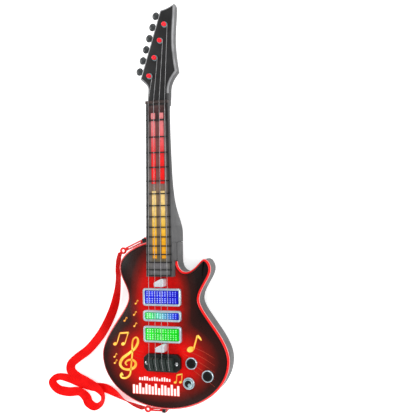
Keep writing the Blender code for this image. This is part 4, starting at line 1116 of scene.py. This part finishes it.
def battery_door():
    """The hatch door, with grip grooves and a counterbored screw."""
    low = (HATCH_X[0] + GAP, BATTERY_CENTRE_Y - HATCH_HALF_Y + GAP)
    high = (HATCH_X[1] - GAP, BATTERY_CENTRE_Y + HATCH_HALF_Y - GAP)
    door = slab("hatch_door", rectangle(low, high, 0.0006, 3), rounded_profile(*DOOR_Z, 0.0003, 0.0002, 2))
    grooves = []
    for k in range(GRIP_GROOVES):
        x = GRIP_X + GRIP_PITCH * k
        corner = (x + 0.0010, BATTERY_CENTRE_Y + GRIP_HALF_Y, DOOR_Z[0] + 0.0005)
        grooves.append(box(f"groove_{k}", (x, BATTERY_CENTRE_Y - GRIP_HALF_Y, -0.01), corner))
    holes = [
        rod("door_hole", 0.0016, -0.01, 0.01, DOOR_SCREW_X, BATTERY_CENTRE_Y),
        rod("door_bore", 0.0030, -0.01, 0.0014, DOOR_SCREW_X, BATTERY_CENTRE_Y),
    ]
    cut(door, [merge("grooves", grooves), *holes])
    show(door, GREY_SHELL, "battery_hatch", ["battery_door"])
    place = (DOOR_SCREW_X, BATTERY_CENTRE_Y, 0.0012)
    cross_screw("hatch_screw", *place, 0.0008, 0.0026, "battery_hatch", ["door_screw"], up=False)


# ---------------------------------------------------------------- printed decoration


def stroke(name, route, low, high, extra=0.0, per_leg=8):
    """A flat printed line through (x, y, half width) points."""
    points = smooth_route(route, per_leg)
    rings = []
    for i, (x, y, half) in enumerate(points):
        before, after = points[max(i - 1, 0)], points[min(i + 1, len(points) - 1)]
        ahead = Vector((after[0] - before[0], after[1] - before[1])).normalized()
        side = Vector((-ahead.y, ahead.x)) * (half + extra)
        here = Vector((x, y))
        left, right = here + side, here - side
        rings.append([(*left, low), (*right, low), (*right, high), (*left, high)])
    return rings_to_mesh(name, rings, closed=False, capped=True)


def note_head(name, x, y, length, low, high, extra=0.0):
    """An oval note head that leans up to the right."""
    turn = math.radians(24)
    loop = []
    for u, v in circle(0, 0, 1.0, 28):
        u, v = u * (length / 2 + extra), v * (length * 0.36 + extra)
        across, up = u * math.cos(turn) - v * math.sin(turn), u * math.sin(turn) + v * math.cos(turn)
        loop.append((x + across, y + up))
    return block(name, loop, low, high)


def clef_route():
    """The clef's strokes, stretched and leaning on the face."""
    made = []
    for u, v, half in CLEF:
        rise = (v - CLEF_MIDDLE) * CLEF_UNIT
        x = CLEF_CENTRE[0] + u * CLEF_WIDTH + rise * CLEF_LEAN
        made.append((x, CLEF_CENTRE[1] + rise, half * CLEF_UNIT * 0.95))
    return made


def music_shapes(prefix, low, high, extra):
    """Every note and the clef as loose solids, fattened by an extra half width."""
    shapes = [stroke(f"{prefix}_clef", clef_route(), low, high, extra)]

    def line(route):
        shapes.append(stroke(f"{prefix}_line_{len(shapes)}", route, low, high, extra))

    def head(x, y, length):
        shapes.append(note_head(f"{prefix}_head_{len(shapes)}", x, y, length, low, high, extra))

    def beamed(heads, tops, length, thin, thick):
        """Two notes under one beam."""
        for (hx, hy), (tx, ty) in zip(heads, tops):
            head(hx, hy, length)
            line([(hx + length * 0.42, hy, thin), (tx, ty, thin)])
        (ax, ay), (bx, by) = tops
        line([(ax - thin, ay - thick, thick), (bx + thin, by - thick, thick)])

    def single(x, y, length, height):
        """One note with a flag."""
        tip_x, tip_y = x + length * 0.42 + height * 0.30, y + height
        head(x, y, length)
        line([(x + length * 0.42, y, length * 0.09), (tip_x, tip_y, length * 0.09)])
        line([
            (tip_x, tip_y, length * 0.13),
            (tip_x + length * 0.32, tip_y - height * 0.16, length * 0.13),
            (tip_x + length * 0.56, tip_y - height * 0.34, length * 0.04),
        ])

    for pair in NOTE_PAIRS:
        beamed(*pair)
    single(*BIG_NOTE)
    for place in SMALL_NOTES:
        single(*place, *SMALL_NOTE_SIZE)
    return shapes


def music_print():
    """Notes in two layers: an orange edge and a yellow middle."""
    layers = [("edge", PRINT_ORANGE, 0.00006, 0.0005), ("fill", PRINT_YELLOW, 0.00012, -0.0001)]
    for name, look, high, extra in layers:
        shapes = music_shapes(name, PRINT_LOW_Z, FACE_Z + high, extra)
        show(merge(f"music_{name}", shapes), look)


def stave_streaks():
    """Thin lines that fan out from behind the bridge."""
    routes = []
    for k in range(5):
        spread = k * 0.0055
        routes.append([
            (0.0270, -0.1885 - spread * 0.5, 0.0001), (0.0400, -0.1850 - spread * 1.3, 0.0003),
            (0.0560, -0.1900 - spread * 1.6, 0.0003), (0.0720, -0.1985 - spread * 1.7, 0.0001),
        ])
    for k in range(3):
        routes.append([
            (-0.0290, -0.1950 - k * 0.004, 0.0001), (-0.0380, -0.1930 - k * 0.005, 0.0002),
            (-0.0460, -0.1890 - k * 0.005, 0.0001),
        ])
    lines = [stroke(f"streak_{k}", route, PRINT_LOW_Z, FACE_Z + 0.00003) for k, route in enumerate(routes)]
    show(merge("stave_streaks", lines), PRINT_STREAK)


def level_row(count, start, pitch, half, base, least, swing, beat, phase):
    """The corners of one row of bars, whose tops rise and fall."""
    row = []
    for k in range(count):
        x = start + k * pitch
        height = least + swing * abs(math.sin(k * beat + phase))
        row.append((x - half, base, x + half, base + height))
    return row


def level_bars():
    """A generic sound-level graphic: a row of tall bars and a row of short ones, each with a red glow."""
    tall = level_row(15, -0.0440, 0.0046, 0.0015, -0.2515, 0.0075, 0.0070, 1.9, 0.7)
    short = level_row(13, -0.0350, 0.0036, 0.0011, -0.2330, 0.0028, 0.0026, 2.3, 0.4)
    layers = [("glow", PRINT_GLOW, 0.00005, 0.0007), ("bars", PRINT_WHITE, 0.00011, 0.0)]
    for name, look, high, extra in layers:
        shapes = []
        for row, reach in ((tall, extra), (short, extra * 0.5)):
            for x0, y0, x1, y1 in row:
                loop = rectangle((x0 - reach, y0 - reach), (x1 + reach, y1 + reach), 0.0004 + reach, 3)
                shapes.append(block(f"{name}_{len(shapes)}", loop, PRINT_LOW_Z, FACE_Z + high))
        show(merge(f"level_{name}", shapes), look)


# ---------------------------------------------------------------- neck


def neck_half_width(y):
    """Half the width of the neck's top face at a distance along it."""
    along = (NUT_Y[0] - y) / (NUT_Y[0] - NECK_END_Y)
    return NECK_HALF_AT_NUT + along * (NECK_HALF_AT_END - NECK_HALF_AT_NUT)


def neck_section(y, side_z, under_z, half_low):
    """Half-round section: flat top with eased edges, straight sides, and an elliptical underside."""
    half = min(neck_half_width(y), half_low)
    top, arc_steps = NECK_TOP_Z, 24
    points = [(half, y, top - 0.0005), (half - 0.0001, y, top - 0.0002), (half - 0.0005, y, top)]
    points += [(-x, y, z) for x, _, z in points[::-1]]
    for k in range(arc_steps + 1):
        angle = math.pi + math.pi * k / arc_steps
        x = half_low * math.copysign(abs(math.cos(angle)) ** 0.8, math.cos(angle))
        points.append((x, y, side_z + (side_z - under_z) * math.sin(angle)))
    return points


def prism(name, corners):
    """A solid between ends given as (y, half width, low, high)."""
    rings = []
    for y, half, low, high in corners:
        rings.append([(-half, y, low), (half, y, low), (half, y, high), (-half, y, high)])
    return rings_to_mesh(name, rings, closed=False, capped=True)


def tuner_places():
    """Where each tuner's shaft leaves the headstock, and the angle that it points at."""
    low, top = Vector(HEAD_LOW_LEFT), Vector(HEAD_TOP_LEFT)
    along = (top - low).normalized()
    first = low + along * TUNER_EDGE_OFFSET
    angle = math.atan2(along.x, -along.y)
    return [(first + along * TUNER_PITCH * k, angle) for k in range(TUNER_COUNT)]


def tuner_axes(place, angle):
    """The placing of a shape made along Z on a tuner's shaft."""
    turn = Matrix.Rotation(angle, 4, "Z") @ Matrix.Rotation(math.radians(90), 4, "Y")
    return Matrix.Translation((*place, TUNER_Z)) @ turn


def head_loop():
    """The headstock's outline, counter-clockwise."""
    return bezier_loop(HEAD_NODES, HEAD_STEPS)[::-1]


def neck():
    """Neck, heel and headstock in one moulding, with the channel for the lights."""
    low, high = HEAD_Z
    profile = [
        (0.0020, low), (0.0004, low + 0.0016), (0.0, low + 0.0022), (0.0, high - 0.0021),
        (0.0002, high - 0.0018), (0.0019, high - 0.0001), (0.0022, high),
    ]
    shell = slab("neck_moulding", head_loop(), profile)
    sections = [neck_section(*section) for section in NECK_HEEL + smooth_route(NECK_SECTIONS, 5)]
    core = rings_to_mesh("neck_core", sections, closed=False, capped=True)
    ends = (NECK_END_Y + 0.0018, NUT_Y[0] + 0.0005)
    channel = prism("channel", [(y, neck_half_width(y) - LIP, CHANNEL_FLOOR_Z, 0.06) for y in ends])
    nut_slot = box("nut_slot", (-0.03, NUT_Y[0] - GAP, NUT_SLOT_Z), (0.03, NUT_Y[1] + GAP, 0.06))
    holes = []
    for k, (place, angle) in enumerate(tuner_places()):
        hole = rod(f"tuner_hole_{k}", 0.0021, -0.0080, 0.0100)
        hole.matrix_basis = tuner_axes(place, angle)
        holes.append(hole)
    cut(shell, [core], "UNION")
    cut(shell, [channel, nut_slot, merge("tuner_holes", holes)])
    show(shell, NECK_SHADED_GREY, stands_for=["neck_shell"], smooth_angle=28)


def head_edge_highlight():
    """A pale band on the chamfer round the front of the headstock: a painted highlight, ending short of the
    nut.
    """
    high = HEAD_Z[1]
    profile = [
        (0.0021, high - 0.0003), (0.0004, high - 0.0020), (0.0001, high - 0.0017), (0.0017, high),
        (0.0020, high + 0.0001), (0.0025, high + 0.0001), (0.0025, high - 0.0003),
    ]
    edge = band("head_edge_highlight", head_loop(), profile)
    cut(edge, [box("edge_end", (-0.03, 0.12, 0.02), (0.03, 0.1560, 0.06))])
    show(edge, HEAD_EDGE_HIGHLIGHT)


def head_plate():
    """The charcoal front of the headstock, with an eased edge and holes for the posts."""
    made = plate("head_front", inset(head_loop(), HEAD_PLATE_INSET), *HEAD_PLATE_Z, 0.0006, 3)
    ends = box("plate_end", (-0.03, 0.12, 0.02), (0.03, NUT_Y[1] + 2 * GAP, 0.06))
    holes = [rod(f"post_hole_{k}", 0.0019, 0.0320, 0.0500, x, y) for k, (x, y) in enumerate(POSTS)]
    cut(made, [ends, merge("post_holes", holes)])
    show(made, CHARCOAL, stands_for=["headstock_plate"])


def bar_loop(side, low, high):
    """One light bar's outline; the bars stand a little further apart towards the body."""
    near, far = (LIGHT_BAR_INNER + (0.1 - y) * 0.003 for y in (low, high))
    corners = [(near, low), (near + LIGHT_BAR_WIDTH, low), (far + LIGHT_BAR_WIDTH, high), (far, high)]
    if side < 0:
        corners = [(-x, y) for x, y in corners[::-1]]
    return softened(corners, 0.0012, 4)


def fingerboard():
    """The smoked board, cut away over the light bars, and the glowing bars in it."""
    y_low, y_high = NECK_END_Y + 0.0021, NUT_Y[0] - 2 * GAP
    near, far = neck_half_width(y_low) - LIP - GAP, neck_half_width(y_high) - LIP - GAP
    outline = [(-near, y_low), (near, y_low), (far, y_high), (-far, y_high)]
    board = plate("fingerboard", outline, *LENS_Z, 0.0003, 2)
    tools = []
    bars = {"red": [], "amber": []}
    for zone, low, high in LIGHT_ZONES:
        for side in (-1, 1):
            loop = bar_loop(side, low, high)
            tools.append(block(f"bar_hole_{zone}_{side}", inset(loop, -0.0001), 0.03, 0.05))
            made = plate(f"bar_{zone}_{side}", loop, *LIGHT_BAR_Z, 0.0006, 3)
            bars["amber" if zone == "amber" else "red"].append(made)
    cut(board, [merge("bar_holes", tools)])
    show(board, FINGERBOARD, stands_for=["fingerboard_lens"])
    for name, look in LIGHTS.items():
        made = merge(f"glow_bars_{name}", bars[name])
        show(made, look, stands_for=[f"light_bars_{name}"])


def nut():
    """The nut, with a notch for each string."""
    outline = rectangle((NUT_X[0], NUT_Y[0]), (NUT_X[1], NUT_Y[1]), 0.0010, 4)
    bar = plate("nut_bar", outline, NUT_SLOT_Z + GAP, NUT_TOP_Z, 0.0006, 3)
    notches = [
        box(f"notch_{k}", (x - 0.0006, 0.13, NUT_TOP_Z - 0.0002), (x + 0.0006, 0.16, 0.05))
        for k, x in enumerate(NUT_STRINGS_X)
    ]
    cut(bar, [merge("notches", notches)])
    show(bar, NUT_BROWN, stands_for=["nut"])


def tuners():
    """Six oval keys, each a dished paddle on a collar and a shaft that turns in the headstock."""
    profile = [
        (0.0, -0.0060), (0.0016, -0.0060), (0.0016, 0.0004), (0.0028, 0.0005), (0.0029, 0.0012),
        (0.0016, 0.0014), (0.0016, KEY_NECK),
    ]
    steps = 12
    for k in range(1, steps):
        angle = math.radians(22 + 158 * k / steps)
        profile.append((math.sin(angle) * 0.0054, 0.0064 - math.cos(angle) * 0.0048))
    profile.append((0.0, KEY_LENGTH))
    for k, (place, angle) in enumerate(tuner_places()):
        key = turned(f"key_{k + 1}", profile, 40)
        for vertex in key.data.vertices:
            if vertex.co.z > KEY_NECK:
                share = min(1.0, (vertex.co.z - KEY_NECK) / 0.0015)
                vertex.co.x *= 1 - share * (1 - KEY_FLATNESS)
        key.data.transform(tuner_axes(place, angle))
        show(key, KEY_CHARCOAL, f"tuner_{k + 1}_key", [f"tuner_{k + 1}"], smooth_angle=45)


def string_posts():
    """Four red domed posts, each on a plated collar."""
    low = HEAD_PLATE_Z[1] + GAP
    r, flange = POST_RADIUS * 0.82, POST_RADIUS * 1.10
    profile = [(0.0, low + 0.0066)]
    for k in range(1, 11):
        angle = math.radians(9 * k)
        profile.append((r * math.sin(angle), low + 0.0040 + 0.0026 * math.cos(angle)))
    profile += [
        (r * 0.90, low + 0.0013), (r * 0.90, low + 0.0010), (0.0015, low + 0.0010), (0.0015, low - 0.0060),
        (0.0, low - 0.0060),
    ]
    collar = [
        (0.0016, low + 0.0009), (flange - 0.0004, low + 0.0009), (flange, low + 0.0005), (flange, low),
        (0.0016, low),
    ]
    for k, (x, y) in enumerate(POSTS):
        post = turned(f"post_{k + 1}", profile, 48, x, y)
        show(post, POST_RED, stands_for=[f"string_post_{k + 1}"])
        show(turned(f"post_collar_{k + 1}", collar, 48, x, y), POST_TEAL)


# ---------------------------------------------------------------- bridge and strings


def wedge(name, corners, low, high):
    """A solid with a polygon's outline, its corners and its upper edge rounded."""
    return plate(name, softened(corners, WEDGE_SOFTENING, 4), low, high, WEDGE_ROUNDING, 4)


def bridge():
    """The black base with its two screws and four ridged saddles."""
    (low, high), half, chamfer = BRIDGE_Y, BRIDGE_HALF_WIDTH, BRIDGE_CHAMFER
    corners = [
        (-half + chamfer, low), (half - chamfer, low), (half, low + chamfer), (half, high - chamfer),
        (half - chamfer, high), (-half + chamfer, high), (-half, high - chamfer), (-half, low + chamfer),
    ]
    base = wedge("bridge_plate", corners, *BRIDGE_Z)
    holes = [rod(f"bridge_hole_{name}", BRIDGE_HOLE_RADIUS, 0.02, 0.05, x, y) for name, x, y in BRIDGE_SCREWS]
    cut(base, [merge("bridge_holes", holes)])
    show(base, BRIDGE_BLACK, stands_for=["bridge_base"])
    top = BRIDGE_Z[1] + GAP
    for name, x, y in BRIDGE_SCREWS:
        cross_screw(f"plate_screw_{name}", x, y, top, 0.0016, 0.0026, stands_for=[f"bridge_screw_{name}"])
    for k, x in enumerate(BRIDGE_STRINGS_X):
        saddle(k + 1, x, top)


def saddle(number, x, low):
    """A block whose crest carries one string; its sloping back is ridged."""
    (width, length), back, crest = SADDLE_SIZE, SADDLE_BACK_Y, SADDLE_CREST_Z
    heel = low + 0.0030
    slope = (crest - heel) / 0.0134
    side = [
        (back, low), (back + length, low), (back + length, low + 0.0040), (back + 0.0164, crest - 0.0004),
        (back + 0.0158, crest), (back + 0.0134, crest),
    ]
    for k in range(SADDLE_RIDGES):
        y = 0.0128 - k * 0.0018
        side += [
            (back + y, heel + slope * y), (back + y - 0.0004, heel + slope * y - 0.0007),
            (back + y - 0.0010, heel + slope * (y - 0.0014) - 0.0005),
        ]
    side.append((back, heel))
    half, ease, middle = width / 2, 0.0004, back + length / 2
    rings = []
    for end, drawn_in in ((-half, ease), (-half + ease, 0.0), (half - ease, 0.0), (half, ease)):
        ring = []
        for y, z in side:
            drop = drawn_in if z > low + 0.001 else 0.0
            ring.append((x + end, y + math.copysign(drawn_in, middle - y), z - drop))
        rings.append(ring)
    made = rings_to_mesh(f"saddle_block_{number}", rings, closed=False, capped=True)
    show(made, SADDLE_BLACK, stands_for=[f"saddle_{number}"], smooth_angle=20)


def string_guide(name, y):
    """A plated wedge under the two middle strings."""
    corners = [
        (-0.0074, y - 0.0054), (0.0058, y - 0.0054), (0.0060, y + 0.0044), (0.0034, y + 0.0056),
        (-0.0072, y + 0.0004),
    ]
    made = wedge(f"guide_{name}", corners, FACE_Z + GAP, GUIDE_TOP_Z)
    show(made, GUIDE_SILVER, stands_for=[f"string_guide_{name}"])


def strings():
    """Four strings, each from behind its saddle over the crest and the nut to its post."""
    lift = STRING_RADIUS + GAP
    crest_y = SADDLE_BACK_Y + 0.0146
    for k, (bridge_x, nut_x) in enumerate(zip(BRIDGE_STRINGS_X, NUT_STRINGS_X)):
        post_x, post_y = POSTS[3 - k]
        route = [
            (bridge_x, SADDLE_BACK_Y + 0.0012, BRIDGE_Z[1] + GAP + 0.0042 + lift),
            (bridge_x, crest_y - 0.0016, SADDLE_CREST_Z + lift + 0.0003),
            (bridge_x, crest_y + 0.0012, SADDLE_CREST_Z + lift + 0.0001),
            (nut_x, NUT_Y[0] + 0.0006, NUT_TOP_Z + lift),
            (nut_x, NUT_Y[1] - 0.0006, NUT_TOP_Z + lift),
            (post_x + POST_RADIUS + lift, post_y - 0.0010, HEAD_PLATE_Z[1] + 0.0026),
        ]
        rings = [[(x + u, y, z + v) for u, v in circle(0, 0, WIRE_RADIUS, 12)] for x, y, z in route]
        wire = rings_to_mesh(f"wire_{k + 1}", rings, closed=False, capped=True)
        show(wire, STRING_STEEL, stands_for=[f"string_{k + 1}"], smooth_angle=60)


# ---------------------------------------------------------------- assembly


CAD_LOOKS = {
    "fret_ladder": FRET_BLACK,
    "main_board": BOARD_GREEN,
    "neck_light_board": BOARD_GREEN,
    "speaker": SPEAKER_BLACK,
    "battery_box": GREY_SHELL,
    "battery_cell_1": CELL_WRAP,
    "battery_cell_2": CELL_WRAP,
    "battery_cell_3": CELL_WRAP,
    "strap_eyelet_top": CHARCOAL,
    "strap_eyelet_bottom": CHARCOAL,
}


def build():
    back_shell()
    front_plate()
    rim_band()
    for panel in PANELS:
        light_panel(*panel)
    for place in BUTTONS:
        button(*place)
    battery_door()
    for k, (x, y) in enumerate(CASE_SCREWS):
        cross_screw(f"case_screw_{k + 1}", x, y, 0.0008, 0.0006, 0.0025, up=False)
    music_print()
    stave_streaks()
    level_bars()
    neck()
    head_edge_highlight()
    head_plate()
    fingerboard()
    nut()
    tuners()
    string_posts()
    bridge()
    for place in GUIDES:
        string_guide(*place)
    strings()
    for name, look in CAD_LOOKS.items():
        mesh = frame["nodes"][name].data
        mesh.materials.clear()
        mesh.materials.append(look)


build()
